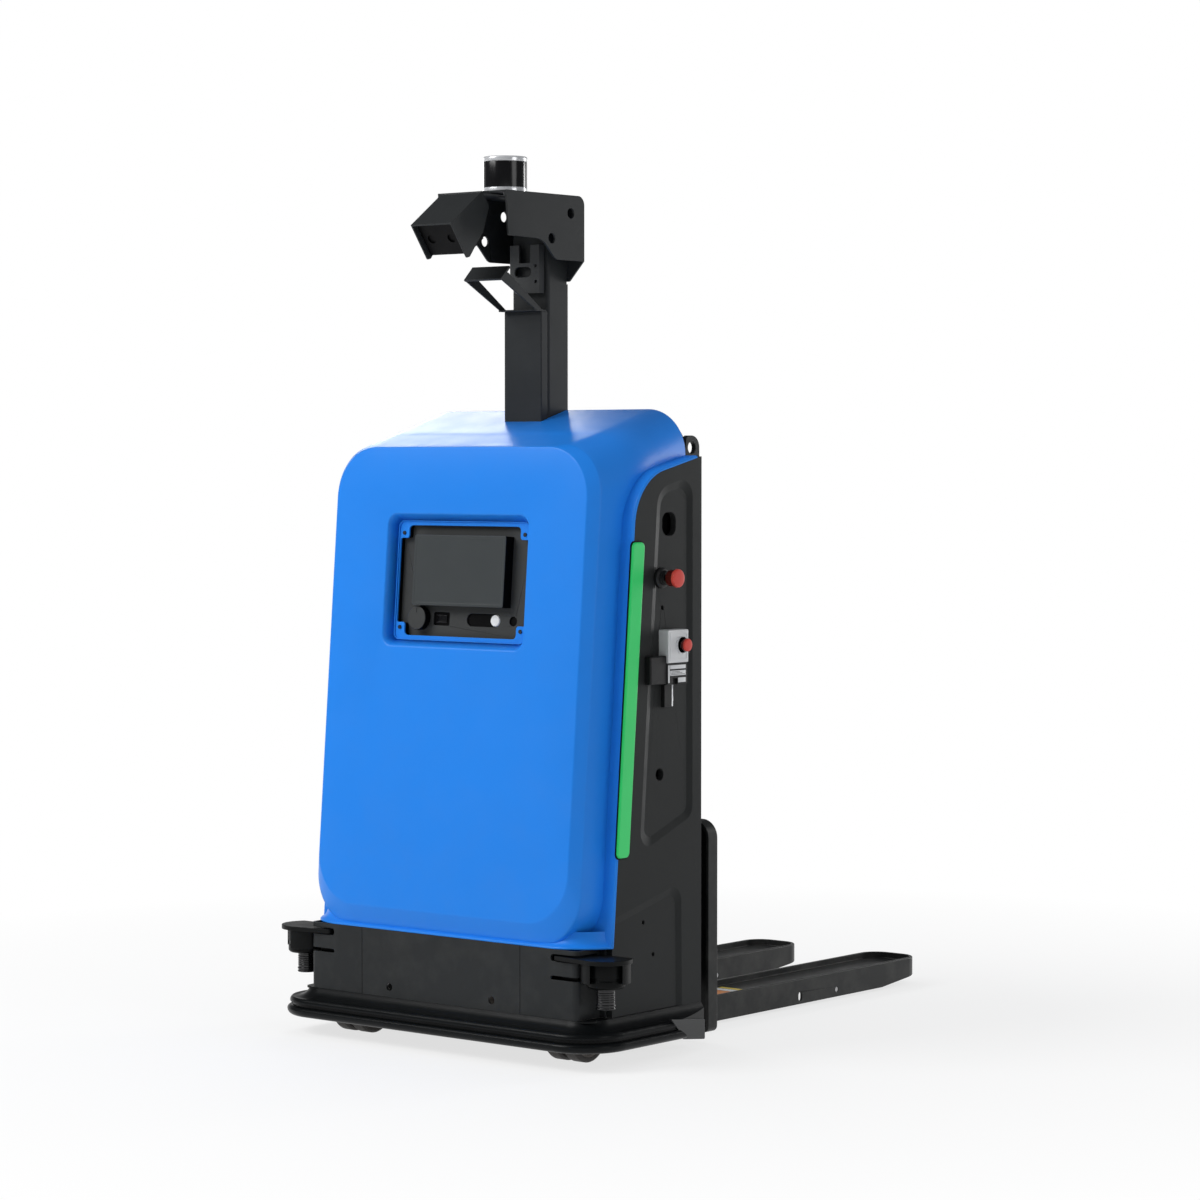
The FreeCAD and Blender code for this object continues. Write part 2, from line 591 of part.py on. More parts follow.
def rim_ends():
    """Slanting caps that close the bumper behind its side lips."""
    cap = prism(rim_end_side(), on_x(0), (FAR, 0, 0))
    rear = PANEL_REAR_Y - 5
    plan = [(rim_end_x(0, 0), 0), (rim_end_x(rear, 0), rear),
            (rim_end_x(rear, RIM_END_SHEET), rear), (rim_end_x(0, RIM_END_SHEET), 0)]
    cap = cap.common(prism(plan, on_z(0), (0, 0, FAR)))
    return Part.makeCompound([mirrored(cap), cap])


def base_frame():
    """Deck plate with the drive well, caster pads and downturned edges."""
    low = RIM_TOP_Z + 2
    inner = SKIRT_HALF - SKIRT_WALL
    back = NOTCH_DEPTH + SKIRT_WALL
    turn = SKIRT_CORNER - SKIRT_WALL
    plan = [(-PANEL_INNER, back), (-inner, back), (-inner, SKIRT_WALL, turn), (inner, SKIRT_WALL, turn),
            (inner, back), (PANEL_INNER, back), (PANEL_INNER, BULKHEAD_FACE_Y), (-PANEL_INNER, BULKHEAD_FACE_Y)]
    deck = prism(plan, on_z(DECK_Z), (0, 0, DECK_THICK))
    deck = deck.cut(rod(DRIVE_WELL_R, (0, DRIVE_Y, 0), (0, 0, 1), FAR))
    for side in (-1, 1):
        pad = box((CASTER_X - 50, CASTER_X + 50), (CASTER_Y - 45, CASTER_Y + 45),
                  (DECK_Z - CASTER_PAD, DECK_Z))
        beam = box((PANEL_INNER - DECK_RIB, PANEL_INNER), (CASTER_Y + 115, BULKHEAD_FACE_Y), (low, DECK_Z))
        rib = box((DRIVE_WELL_R + 25, DRIVE_WELL_R + 25 + DECK_RIB), (DRIVE_Y - 120, BULKHEAD_FACE_Y),
                  (low, DECK_Z))
        for piece in (pad, beam, rib):
            deck = deck.fuse(piece if side > 0 else mirrored(piece))
        bore = rod(CASTER_PIN_R + RUN, (side * CASTER_X, CASTER_Y, 0), (0, 0, 1), FAR)
        deck = deck.cut(bore)
    sill = box((-PANEL_INNER, PANEL_INNER), (BULKHEAD_FACE_Y - DECK_RIB, BULKHEAD_FACE_Y), (low, DECK_Z))
    return deck.fuse(sill).removeSplitter()


# ---------------------------------------------------------------- side panels and rear
WINDOW_Y = (266.0, 316.0)
WINDOW_Z = (1185.0, 1238.0)
ESTOP_Y = 252.0
ESTOP_Z = 1090.0
ESTOP_R = 21.0
ESTOP_STEM_R = 8.0
ESTOP_CAP = (28.0, 56.0)      # from where to where the cap reaches outside the panel
COLLAR_NECK_R = 12.0
COLLAR_END = 12.0
LOCK_END = 22.0
BOX_Y = (254.0, 328.0)
BOX_Z = (897.0, 972.0)
BOX_PROUD = 24.0              # how far the box stands out from the panel's outer face
TERMINAL_PROUD = 20.0
SWITCH_PROUD = 18.0
SPOUT_PROUD = 6.0
BUTTON_GAP = 0.3              # running gap round the stems of the two stop buttons


def inward(corners, inset):
    """The same outline with every side moved in by inset."""
    moved_in = []
    for i, corner in enumerate(corners):
        here = V(corner[0], corner[1], 0)
        back = (V(*corners[i - 1][:2], 0) - here).normalize()
        ahead = (V(*corners[(i + 1) % len(corners)][:2], 0) - here).normalize()
        half = back.getAngle(ahead) / 2
        point = here + (back + ahead).normalize() * (inset / math.sin(half))
        radius = max(corner[2] - inset * 0.6, 6.0) if len(corner) > 2 else 0.0
        moved_in.append((point.x, point.y, radius))
    return moved_in


def recess(corners):
    """Bevelled recess to cut into a panel's outer face."""
    mouth = outline(corners, on_x(SIDE_HALF + CUT_OVER))
    return ruled(mouth, outline(inward(corners, RECESS_BEVEL), on_x(RECESS_X)))


def recess_corners():
    """Outlines of the upper and the lower recess, both kept at their margins from the panel's edges."""
    def front_edge(z):
        return PANEL_FRONT_Y + RECESS_FRONT + SLOPE * (z - PANEL_LOW_Z)

    def top_edge(y):
        return PANEL_REAR_Z - RECESS_TOP - math.tan(math.radians(PANEL_TOP_FALL)) * (PANEL_REAR_Y - y)
    rear = PANEL_REAR_Y - RECESS_REAR
    front_top = PANEL_FRONT_Y + RECESS_FRONT + SLOPE * (PANEL_REAR_Z - PANEL_LOW_Z)
    upper = [(front_edge(UPPER_LOW_Z), UPPER_LOW_Z, 32), (rear, UPPER_LOW_Z + 75, 36),
             (rear, top_edge(rear), 40), (front_edge(top_edge(front_top)), top_edge(front_top), 55)]
    lower = [(PANEL_FRONT_Y - 46, LOWER_TOP_Z - 72), (rear - 42, LOWER_TOP_Z, 34), (rear - 38, RIM_TOP_Z - 48),
             (PANEL_FRONT_Y - 46, RIM_TOP_Z - 48)]
    return upper, lower


def side_panel(side):
    panel = prism(panel_corners(), on_x(PANEL_INNER), (PANEL_THICK, 0, 0))
    for corners in recess_corners():
        panel = panel.cut(recess(corners))
    start, through = PANEL_INNER - 2, PANEL_THICK + 4
    panel = panel.cut(prism([(WINDOW_Y[0], WINDOW_Z[0], 20), (WINDOW_Y[1], WINDOW_Z[0], 20),
                             (WINDOW_Y[1], WINDOW_Z[1], 20), (WINDOW_Y[0], WINDOW_Z[1], 20)],
                            on_x(start), (through, 0, 0)))
    holes = [(267.0, 1022.0, 5.0), (257.0, 643.0, 14.0), (198.0, 312.0, 5.0), (234.0, 236.0, 5.0)]
    if side > 0:
        holes.append((ESTOP_Y, ESTOP_Z, ESTOP_STEM_R + 3))
    for y, z, radius in holes:
        panel = panel.cut(rod(radius, (start, y, z), (1, 0, 0), through))
    if side > 0:
        # flat seat for the collar where it meets the recess's bevel
        panel = panel.cut(rod(COLLAR_NECK_R + SLIDE, (RECESS_X, ESTOP_Y, ESTOP_Z), (1, 0, 0), RECESS_DEPTH + 1))
    return panel if side > 0 else mirrored(panel)


def light_strip(side):
    low = PANEL_FRONT_Y + SLOPE * (STRIP_LOW_Z - SKIRT_TOP_Z) - 11
    high = low + SLOPE * (STRIP_HIGH_Z - STRIP_LOW_Z)
    corners = [(low, STRIP_LOW_Z, 12), (low + STRIP_WIDTH, STRIP_LOW_Z, 12),
               (high + STRIP_WIDTH, STRIP_HIGH_Z, 12), (high, STRIP_HIGH_Z, 12)]
    strip = prism(corners, on_x(SIDE_HALF), (STRIP_THICK, 0, 0))
    top = [e for e in strip.Edges if abs(e.CenterOfMass.x - SIDE_HALF - STRIP_THICK) < 1e-3]
    strip = strip.makeChamfer(2.0, top)
    return strip if side > 0 else mirrored(strip)


def rear_bulkhead():
    """Pan-shaped rear wall with the two channels that guide the fork carriage."""
    half = WALL_HALF - 8
    top = PIVOT_Z + FACE_HIGH + 72
    shoulder = PANEL_REAR_Z - 14
    corners = [(-PANEL_INNER, RIM_TOP_Z), (PANEL_INNER, RIM_TOP_Z), (PANEL_INNER, shoulder - 20), (half, shoulder),
               (half, top, ROOF_CORNER - 3), (-half, top, ROOF_CORNER - 3), (-half, shoulder),
               (-PANEL_INNER, shoulder - 20)]
    front = COVER_REAR_Y + 1
    wall = prism(corners, on_y(front), (0, PANEL_REAR_Y - front, 0))
    rim = 14.0
    inner = [(-PANEL_INNER + rim, 0), (PANEL_INNER - rim, 0), (PANEL_INNER - rim, shoulder - 24),
             (half - rim, shoulder - 8), (half - rim, top - rim, ROOF_CORNER - 16),
             (-half + rim, top - rim, ROOF_CORNER - 16), (-half + rim, shoulder - 8),
             (-PANEL_INNER + rim, shoulder - 24)]
    wall = wall.cut(prism(inner, on_y(front - 1), (0, BULKHEAD_FACE_Y - front + 1, 0)))
    wall = wall.cut(box((-PANEL_INNER, PANEL_INNER), (front - 1, BULKHEAD_FACE_Y), (0, DECK_TOP_Z)))
    wall = wall.cut(box((-POST_HALF, POST_HALF), (front - 1, BULKHEAD_FACE_Y), (top - 40, top + 10)))
    for side in (-1, 1):
        rail = box((RAIL_X, RAIL_X + RAIL_WIDTH), (PANEL_REAR_Y, PANEL_REAR_Y + RAIL_DEPTH),
                   (RAIL_LOW_Z, RAIL_TOP_Z))
        groove = box((RAIL_X - 1, RAIL_X + RAIL_WIDTH - RAIL_WALL),
                     (PANEL_REAR_Y + RAIL_WALL, PANEL_REAR_Y + RAIL_DEPTH - RAIL_WALL), (0, FAR))
        rail = rail.cut(groove)
        wall = wall.fuse(rail if side > 0 else mirrored(rail))
    return wall.removeSplitter()


def lifting_lugs():
    """The two lifting eyes, flat plates behind the top corners."""
    y, z = PANEL_REAR_Y, LUG_EYE_Z
    corners = [(y, z - 85), (y + LUG_REACH / 2, z - 55, 20), (y + LUG_REACH, z - 33, 24),
               (y + LUG_REACH, z + 28, 28), (y, z + 28, 10)]
    inner = WALL_HALF - LUG_INSET - LUG_THICK
    lug = prism(corners, on_x(inner), (LUG_THICK, 0, 0))
    lug = lug.cut(rod(LUG_EYE_R, (inner - 1, y + 21, z), (1, 0, 0), LUG_THICK + 2))
    return Part.makeCompound([mirrored(lug), lug])


# ---------------------------------------------------------------- operating parts on the right side
def estop_collar():
    bore = ESTOP_STEM_R + BUTTON_GAP
    neck = ring(COLLAR_NECK_R, bore, (RECESS_X, ESTOP_Y, ESTOP_Z), (1, 0, 0), RECESS_DEPTH + LOCK_END)
    collar = ring(24.0, bore, (SIDE_HALF + 1, ESTOP_Y, ESTOP_Z), (1, 0, 0), COLLAR_END - 1)
    lock = ring(17.0, bore, (SIDE_HALF + COLLAR_END, ESTOP_Y, ESTOP_Z), (1, 0, 0), LOCK_END - COLLAR_END)
    return join(neck, collar, lock)


def estop_button():
    start, end = SIDE_HALF + ESTOP_CAP[0], SIDE_HALF + ESTOP_CAP[1]
    cap = rod(ESTOP_R, (start, ESTOP_Y, ESTOP_Z), (1, 0, 0), end - start)
    rim = [e for e in cap.Edges if e.Length > 2 * ESTOP_R and e.CenterOfMass.x > start + 5]
    cap = cap.makeChamfer(4.0, rim)
    stem = rod(ESTOP_STEM_R, (PANEL_INNER + 2, ESTOP_Y, ESTOP_Z), (1, 0, 0), start - PANEL_INNER)
    return join(cap, stem)


def box_button_centre():
    return sum(BOX_Y) / 2 + 8, sum(BOX_Z) / 2 + 3


def control_box():
    outer = SIDE_HALF + BOX_PROUD
    body = box((RECESS_X, outer), BOX_Y, BOX_Z)
    body = body.makeFillet(3.0, [e for e in body.Edges if e.CenterOfMass.x > RECESS_X + 1])
    y, z = box_button_centre()
    bore = ESTOP_STEM_R + BUTTON_GAP
    body = body.cut(rod(bore, (RECESS_X + 6, y, z), (1, 0, 0), FAR))
    guard = ring(19.0, bore, (outer, y, z), (1, 0, 0), 6)
    return join(body, guard)


def box_button():
    outer = SIDE_HALF + BOX_PROUD
    y, z = box_button_centre()
    cap = rod(15.0, (outer + 10.5, y, z), (1, 0, 0), 12)
    cap = cap.makeChamfer(3.0, [e for e in cap.Edges if e.Length > 80 and e.CenterOfMass.x > outer + 20])
    stem = rod(ESTOP_STEM_R, (RECESS_X + 11, y, z), (1, 0, 0), outer - RECESS_X)
    return join(cap, stem)


def control_block():
    """Terminal housing under the box, the dark switch block beside it and the cable spout."""
    low = BOX_Z[0] - 49
    terminal = box((RECESS_X, SIDE_HALF + TERMINAL_PROUD), BOX_Y, (low, BOX_Z[0]))
    terminal = terminal.makeFillet(2.5, [e for e in terminal.Edges if e.CenterOfMass.x > RECESS_X + 1])
    mouth = (BOX_Y[0] + 22, BOX_Y[0] + 38)
    terminal = terminal.cut(box((SIDE_HALF + TERMINAL_PROUD - 8, FAR), mouth, (low - 8, low + 14)))
    switch = box((SIDE_HALF + 1, SIDE_HALF + SWITCH_PROUD), (BOX_Y[0] - 58, BOX_Y[0]), (low + 2, low + 66))
    switch = switch.makeFillet(4.0, [e for e in switch.Edges if e.CenterOfMass.x > SIDE_HALF + 2
                                     and e.CenterOfMass.y < BOX_Y[0] - 4])
    foot = box((RECESS_X, SIDE_HALF + 1), (BOX_Y[0] - 20, BOX_Y[0]), (low + 4, low + 64))
    spout = box((RECESS_X, SIDE_HALF + SPOUT_PROUD), (BOX_Y[0] + 8, BOX_Y[0] + 38), (low - 52, low))
    return join(terminal, switch, foot, spout)


# ---------------------------------------------------------------- scanners
def scanner_bracket(side):
    """Top plate with a tongue that runs in through the skirt, and a guard wall open to the outside."""
    z = SCANNER_TOP_Z
    low = SCANNER_LOW_Z + 12
    disc = rod(SCANNER_PLATE_R, (SCANNER_X, SCANNER_Y, z), (0, 0, 1), SCANNER_PLATE)
    inner = SKIRT_HALF - SLOT_REACH + 12
    tongue = prism([(inner, -4, 6), (SCANNER_X - 4, SCANNER_Y - SCANNER_PLATE_R + 0.5), (SCANNER_X, SCANNER_Y),
                    (SCANNER_X - 50, SCANNER_Y + 28), (inner, SCANNER_Y + 22)], on_z(z), (0, 0, SCANNER_PLATE))
    wall = ring(SCANNER_R + 12, SCANNER_R + 6, (SCANNER_X, SCANNER_Y, low), (0, 0, 1), z - low)
    floor = ring(SCANNER_R + 12, SCANNER_R + 0.4, (SCANNER_X, SCANNER_Y, low), (0, 0, 1), 6)
    guard = wall.fuse(floor)
    mouth = box((0, 200), (-36, 36), (low - 6, z))
    mouth.rotate(V(0, 0, 0), V(0, 0, 1), -50)
    guard = guard.cut(moved(mouth, x=SCANNER_X, y=SCANNER_Y))
    guard = guard.cut(box((0, SKIRT_HALF + 2), (-FAR, FAR), (low - 6, z)))
    foot = box((inner + 5, inner + 50), (SCANNER_Y - 20, SCANNER_Y - 12), (DECK_TOP_Z, z))
    bracket = join(disc, tongue, guard, foot)
    bracket = bracket.cut(box((SKIRT_HALF, FAR), (NOTCH_DEPTH - SLIDE, FAR), (RIM_TOP_Z, SKIRT_TOP_Z)))
    return bracket if side > 0 else mirrored(bracket)


def scanner_housing(side):
    drum = rod(SCANNER_R, (SCANNER_X, SCANNER_Y, SCANNER_LOW_Z), (0, 0, 1), SCANNER_TOP_Z - SCANNER_LOW_Z)
    drum = drum.makeChamfer(4.0, [e for e in drum.Edges if e.Length > 100
                                  and e.CenterOfMass.z < SCANNER_LOW_Z + 1])
    return drum if side > 0 else mirrored(drum)


def scanner_optics():
    """Ribbed lens drums below the two housings."""
    tall = SCANNER_LOW_Z - OPTIC_LOW_Z
    optic = rod(OPTIC_R - 2, (SCANNER_X, SCANNER_Y, OPTIC_LOW_Z), (0, 0, 1), tall)
    for z in (OPTIC_LOW_Z, OPTIC_LOW_Z + 7, SCANNER_LOW_Z - 4):
        optic = optic.fuse(rod(OPTIC_R, (SCANNER_X, SCANNER_Y, z), (0, 0, 1), 4))
    optic = optic.removeSplitter()
    return Part.makeCompound([mirrored(optic), optic])


# ---------------------------------------------------------------- mast and head
def mast_post():
    height = HEAD_TOP_Z - HEAD_SHEET - POST_FOOT_Z
    outer = prism([(-POST_HALF, POST_FRONT_Y, 8), (POST_HALF, POST_FRONT_Y, 8), (POST_HALF, BULKHEAD_FACE_Y, 8),
                   (-POST_HALF, BULKHEAD_FACE_Y, 8)], on_z(POST_FOOT_Z), (0, 0, height))
    w = POST_WALL
    inner = prism([(-POST_HALF + w, POST_FRONT_Y + w, 4), (POST_HALF - w, POST_FRONT_Y + w, 4),
                   (POST_HALF - w, BULKHEAD_FACE_Y - w, 4), (-POST_HALF + w, BULKHEAD_FACE_Y - w, 4)],
                  on_z(POST_FOOT_Z), (0, 0, height))
    post = outer.cut(inner)
    # above the bracket's rear wall the post is cut back to pass inside it
    post = post.cut(box((-FAR, FAR), (HEAD_REAR_Y - HEAD_SHEET, FAR), (TAPER_LOW_Z - 6, FAR)))
    return post.cut(box((-FAR, FAR), (HEAD_REAR_Y - HEAD_CORNER, FAR), (HEAD_TOP_Z - HEAD_CORNER, FAR)))


def cable_duct():
    rear = DUCT_FRONT_Y + DUCT_DEPTH
    duct = box((-DUCT_HALF, DUCT_HALF), (DUCT_FRONT_Y, rear), (DUCT_FOOT_Z, DUCT_TOP_Z))
    duct = duct.makeFillet(3.0, [e for e in duct.Edges if e.Length > 100 and e.CenterOfMass.y < DUCT_FRONT_Y + 1
                                 and abs(e.CenterOfMass.x) > 1])
    key = box((-POST_HALF + 12, POST_HALF - 12), (rear, POST_FRONT_Y), (DUCT_FOOT_Z, DUCT_TOP_Z - 6))
    return join(duct, key)


def head_bracket():
    """Folded sheet bracket: top, two shaped cheeks and a rear wall that tapers to the post."""
    front, rear, top = HEAD_FRONT_Y, HEAD_REAR_Y, HEAD_TOP_Z
    cheek = [(front, top), (rear, top, HEAD_CORNER), (rear, HEAD_LOW_Z), (rear - 105, HEAD_LOW_Z, 24),
             (rear - 152, HEAD_STEP_Z, 52), (front + 8, HEAD_STEP_Z + 3)]
    sheet = HEAD_SHEET
    hollow = [(front - FAR, top - sheet), (rear - sheet, top - sheet, HEAD_CORNER - sheet),
              (rear - sheet, 0), (front - FAR, 0)]
    inside = HEAD_HALF - sheet
    shell = prism(cheek, on_x(-HEAD_HALF), (2 * HEAD_HALF, 0, 0))
    shell = shell.cut(prism(hollow, on_x(-inside), (2 * inside, 0, 0)))
    foot = POST_HALF + 7
    taper = prism([(-HEAD_HALF, HEAD_LOW_Z), (HEAD_HALF, HEAD_LOW_Z), (foot, TAPER_LOW_Z, 6),
                   (-foot, TAPER_LOW_Z, 6)], on_y(rear - sheet), (0, sheet, 0))
    shell = shell.fuse(taper)
    for y, z in ((rear - 50, top - 42), (rear - 119, top - 103)):
        shell = shell.cut(rod(HEAD_HOLE_R, (-HEAD_HALF - 5, y, z), (1, 0, 0), 2 * HEAD_HALF + 10))
    shell = shell.cut(rod(18.0, (0, LIDAR_Y, top - 20), (0, 0, 1), 40))
    return shell.removeSplitter()


def lidar(piece):
    z = HEAD_TOP_Z
    if piece == "base":
        return rod(LIDAR_R, (0, LIDAR_Y, z), (0, 0, 1), LIDAR_RING)
    if piece == "window":
        body = rod(LIDAR_R - 1, (0, LIDAR_Y, z + LIDAR_RING), (0, 0, 1), LIDAR_HEIGHT - 2 * LIDAR_RING + 3)
        return body
    top = z + LIDAR_HEIGHT
    cap = rod(LIDAR_R, (0, LIDAR_Y, top - LIDAR_RING + 3), (0, 0, 1), LIDAR_RING - 3)
    return cap.makeChamfer(4.0, [e for e in cap.Edges if e.Length > 100 and e.CenterOfMass.z > top - 1])


def tilt_hood(shape):
    """Places a shape made with its front top edge at the origin and its length along +Y."""
    turned = shape.copy()
    turned.rotate(V(0, 0, 0), V(1, 0, 0), HOOD_TILT)
    turned.translate(V(0, HOOD_FRONT_Y, HOOD_FRONT_Z))
    return turned


def camera_hood():
    cheek = [(0, 0), (HOOD_LENGTH, 0), (HOOD_LENGTH, -42, 8), (HOOD_LENGTH - 50, -HOOD_HEIGHT + 22, 30),
             (10, -HOOD_HEIGHT, 6), (0, -HOOD_HEIGHT + 4, 4)]
    outer = prism(cheek, on_x(-HOOD_HALF), (2 * HOOD_HALF, 0, 0))
    inside = HOOD_HALF - HOOD_SHEET
    hollow = box((-inside, inside), (-10, HOOD_LENGTH + 10), (-HOOD_HEIGHT - 10, -HOOD_SHEET))
    hood = tilt_hood(outer.cut(hollow))
    # tongue bolted under the bracket's top
    under = HEAD_TOP_Z - HEAD_SHEET
    ends = HOOD_FRONT_Y + HOOD_LENGTH * math.cos(math.radians(HOOD_TILT))
    tongue = box((-HOOD_HALF, HOOD_HALF), (ends - 6, HEAD_FRONT_Y + 40), (under - HOOD_SHEET, under))
    return join(hood, tongue)


def camera_module():
    inside = HOOD_HALF - HOOD_SHEET
    body = box((-inside, inside), (12, 78), (-HOOD_HEIGHT + 6, -HOOD_SHEET))
    body = body.makeFillet(4.0, [e for e in body.Edges if abs(e.CenterOfMass.y - 12) < 1e-6])
    for x in (-30.0, 30.0):
        body = body.cut(rod(11.0, (x, 10, -48), (0, 1, 0), 6))
    return tilt_hood(body)


def sensor_plate():
    """Channel on the front of the post above the duct, with its slot and holes."""
    plate_y = 303.0
    low, high = 1747.0, 1860.0
    plate = prism([(-32, low), (45, low), (45, high), (-45, high), (-45, low + 42)], on_y(plate_y), (0, 5, 0))
    for x in (-45.0, 41.0):
        start = low + 42 if x < 0 else low
        plate = plate.fuse(box((x, x + 4), (plate_y, POST_FRONT_Y), (start, high)))
    plate = plate.cut(box((-17, 17), (plate_y - 2, plate_y + 8), (1818, high + 5)))
    oval = prism([(-31, 1785, 11.9), (20, 1785, 11.9), (20, 1809, 11.9), (-31, 1809, 11.9)],
                 on_y(plate_y - 2), (0, 10, 0))
    plate = plate.cut(oval)
    for z in (1811.0, 1774.0):
        plate = plate.cut(rod(4.0, (34, plate_y - 2, z), (0, 1, 0), 10))
    return plate.removeSplitter()


def sensor_hoop():
    """Camera hoop: a folded top with two arms down to a foot on the duct."""
    t = 4.0
    top = [(183, 1805), (152, 1774), (152 + t, 1774 - t), (183 + t, 1805 - t)]
    hoop = prism(top, on_x(-DUCT_HALF), (2 * DUCT_HALF, 0, 0))
    for side in (-1, 1):
        arm = [(152, 1774, 2), (178, 1790, 4), (300, DUCT_TOP_Z + t), (276, DUCT_TOP_Z + t)]
        cheek = prism(arm, on_x(DUCT_HALF - t), (t, 0, 0))
        hoop = hoop.fuse(cheek if side > 0 else mirrored(cheek))
    foot = box((-DUCT_HALF, DUCT_HALF), (276, DUCT_FRONT_Y + DUCT_DEPTH - 4), (DUCT_TOP_Z, DUCT_TOP_Z + t))
    return hoop.fuse(foot).removeSplitter()


# ---------------------------------------------------------------- drive
def drive_mount():
    """Flanged ring on the deck round the drive well."""
    axis = (0, 0, 1)
    flange = rod(DRIVE_WELL_R + 28, (0, DRIVE_Y, DECK_TOP_Z), axis, WELL_FLANGE)
    wall = rod(DRIVE_WELL_R + WELL_WALL, (0, DRIVE_Y, DECK_TOP_Z), axis, WELL_RISE)
    return join(flange, wall).cut(rod(DRIVE_WELL_R, (0, DRIVE_Y, 0), axis, 600))


def steering_plate():
    """Bearing plate that closes the ring and carries the yoke's neck."""
    axis = (0, 0, 1)
    plate = rod(DRIVE_WELL_R + WELL_WALL, (0, DRIVE_Y, DECK_TOP_Z + WELL_RISE), axis, BEARING_PLATE)
    boss = rod(YOKE_NECK_R + 14, (0, DRIVE_Y, BEARING_TOP_Z - BEARING_BOSS), axis, BEARING_BOSS)
    return join(plate, boss).cut(rod(YOKE_NECK_R + RUN, (0, DRIVE_Y, 0), axis, 600))


def steer_yoke():
    head_low = 2 * DRIVE_WHEEL_R + 8
    plate = rod(95, (0, DRIVE_Y, head_low), (0, 0, 1), 10)
    neck = rod(YOKE_NECK_R, (0, DRIVE_Y, head_low), (0, 0, 1), BEARING_TOP_Z + SEAT - head_low)
    cap = rod(YOKE_NECK_R + 10, (0, DRIVE_Y, BEARING_TOP_Z + SEAT), (0, 0, 1), 10)
    yoke = join(plate, neck, cap)
    gap = DRIVE_WHEEL_WIDTH / 2 + 6
    for side in (-1, 1):
        arm = prism([(-42, head_low + 2), (-42, DRIVE_WHEEL_R - 42, 40), (42, DRIVE_WHEEL_R - 42, 40),
                     (42, head_low + 2)], on_x(gap), (12, 0, 0))
        arm = moved(arm, y=DRIVE_Y)
        yoke = yoke.fuse(arm if side > 0 else mirrored(arm))
    bore = rod(20 + RUN, (-200, DRIVE_Y, DRIVE_WHEEL_R), (1, 0, 0), 400)
    return yoke.cut(bore).removeSplitter()


def drive_motor():
    """Traction motor standing on the yoke."""
    foot = BEARING_TOP_Z + SEAT + 10
    body = rod(62, (0, DRIVE_Y, foot), (0, 0, 1), 150)
    cap = rod(52, (0, DRIVE_Y, foot + 150), (0, 0, 1), 22)
    return join(body, cap)


def drive_hub():
    half = DRIVE_WHEEL_WIDTH / 2
    inner = DRIVE_WHEEL_R - DRIVE_TREAD
    hub = rod(inner, (-half, DRIVE_Y, DRIVE_WHEEL_R), (1, 0, 0), 2 * half)
    for side in (-1, 1):
        x = half - 14 if side > 0 else -half - 1
        hub = hub.cut(ring(inner - 12, 38, (x, DRIVE_Y, DRIVE_WHEEL_R), (1, 0, 0), 15))
    shaft = rod(20, (-half - 22, DRIVE_Y, DRIVE_WHEEL_R), (1, 0, 0), 2 * half + 44)
    return join(hub, shaft)


def drive_tyre():
    half = DRIVE_WHEEL_WIDTH / 2
    tyre = ring(DRIVE_WHEEL_R, DRIVE_WHEEL_R - DRIVE_TREAD, (-half, DRIVE_Y, DRIVE_WHEEL_R), (1, 0, 0), 2 * half)
    return tyre.makeChamfer(4.0, [e for e in tyre.Edges if e.Length > 2 * math.pi * (DRIVE_WHEEL_R - 1)])


# ---------------------------------------------------------------- casters
AXLE_R = 10.0


def caster_fork(side):
    """Swivel head with one central leg; the twin wheels run on both sides of it."""
    top = DECK_Z - 8
    disc = rod(36, (0, 0, top - SEAT - 14), (0, 0, 1), 14)
    pin = rod(CASTER_PIN_R, (0, 0, top - SEAT - 2), (0, 0, 1), DECK_TOP_Z - top)
    leg = [(30, top - SEAT - 12), (24, 90, 20), (-CASTER_TRAIL + 20, CASTER_R - 18, 16),
           (-CASTER_TRAIL - 20, CASTER_R - 18, 18), (-CASTER_TRAIL - 20, CASTER_R + 20, 16), (-30, top - SEAT - 12)]
    plate = prism(leg, on_x(-CASTER_GAP / 2 + 1), (CASTER_GAP - 2, 0, 0))
    fork = join(disc, pin, plate)
    fork = fork.cut(rod(AXLE_R + RUN, (-60, -CASTER_TRAIL, CASTER_R), (1, 0, 0), 120))
    return moved(fork, x=side * CASTER_X, y=CASTER_Y)


def caster_hub(side):
    rim = CASTER_R - CASTER_TREAD
    half = CASTER_GAP / 2 + CASTER_WHEEL
    hub = rod(AXLE_R, (-half, 0, 0), (1, 0, 0), 2 * half)
    for s in (-1, 1):
        start = CASTER_GAP / 2 if s > 0 else -half
        disc = rod(rim, (start, 0, 0), (1, 0, 0), CASTER_WHEEL)
        x = half - 9 if s > 0 else -half - 1
        disc = disc.cut(ring(rim - 7, 19, (x, 0, 0), (1, 0, 0), 10))
        hub = hub.fuse(disc)
    return moved(hub.removeSplitter(), x=side * CASTER_X, y=CASTER_Y - CASTER_TRAIL, z=CASTER_R)


def caster_tyre(side):
    rim = CASTER_R - CASTER_TREAD
    rings = []
    for s in (-1, 1):
        start = CASTER_GAP / 2 if s > 0 else -CASTER_GAP / 2 - CASTER_WHEEL
        tread = ring(CASTER_R, rim, (start, 0, 0), (1, 0, 0), CASTER_WHEEL)
        edges = [e for e in tread.Edges if e.Length > 2 * math.pi * (CASTER_R - 1)]
        rings.append(tread.makeChamfer(4.0, edges))
    return moved(Part.makeCompound(rings), x=side * CASTER_X, y=CASTER_Y - CASTER_TRAIL, z=CASTER_R)


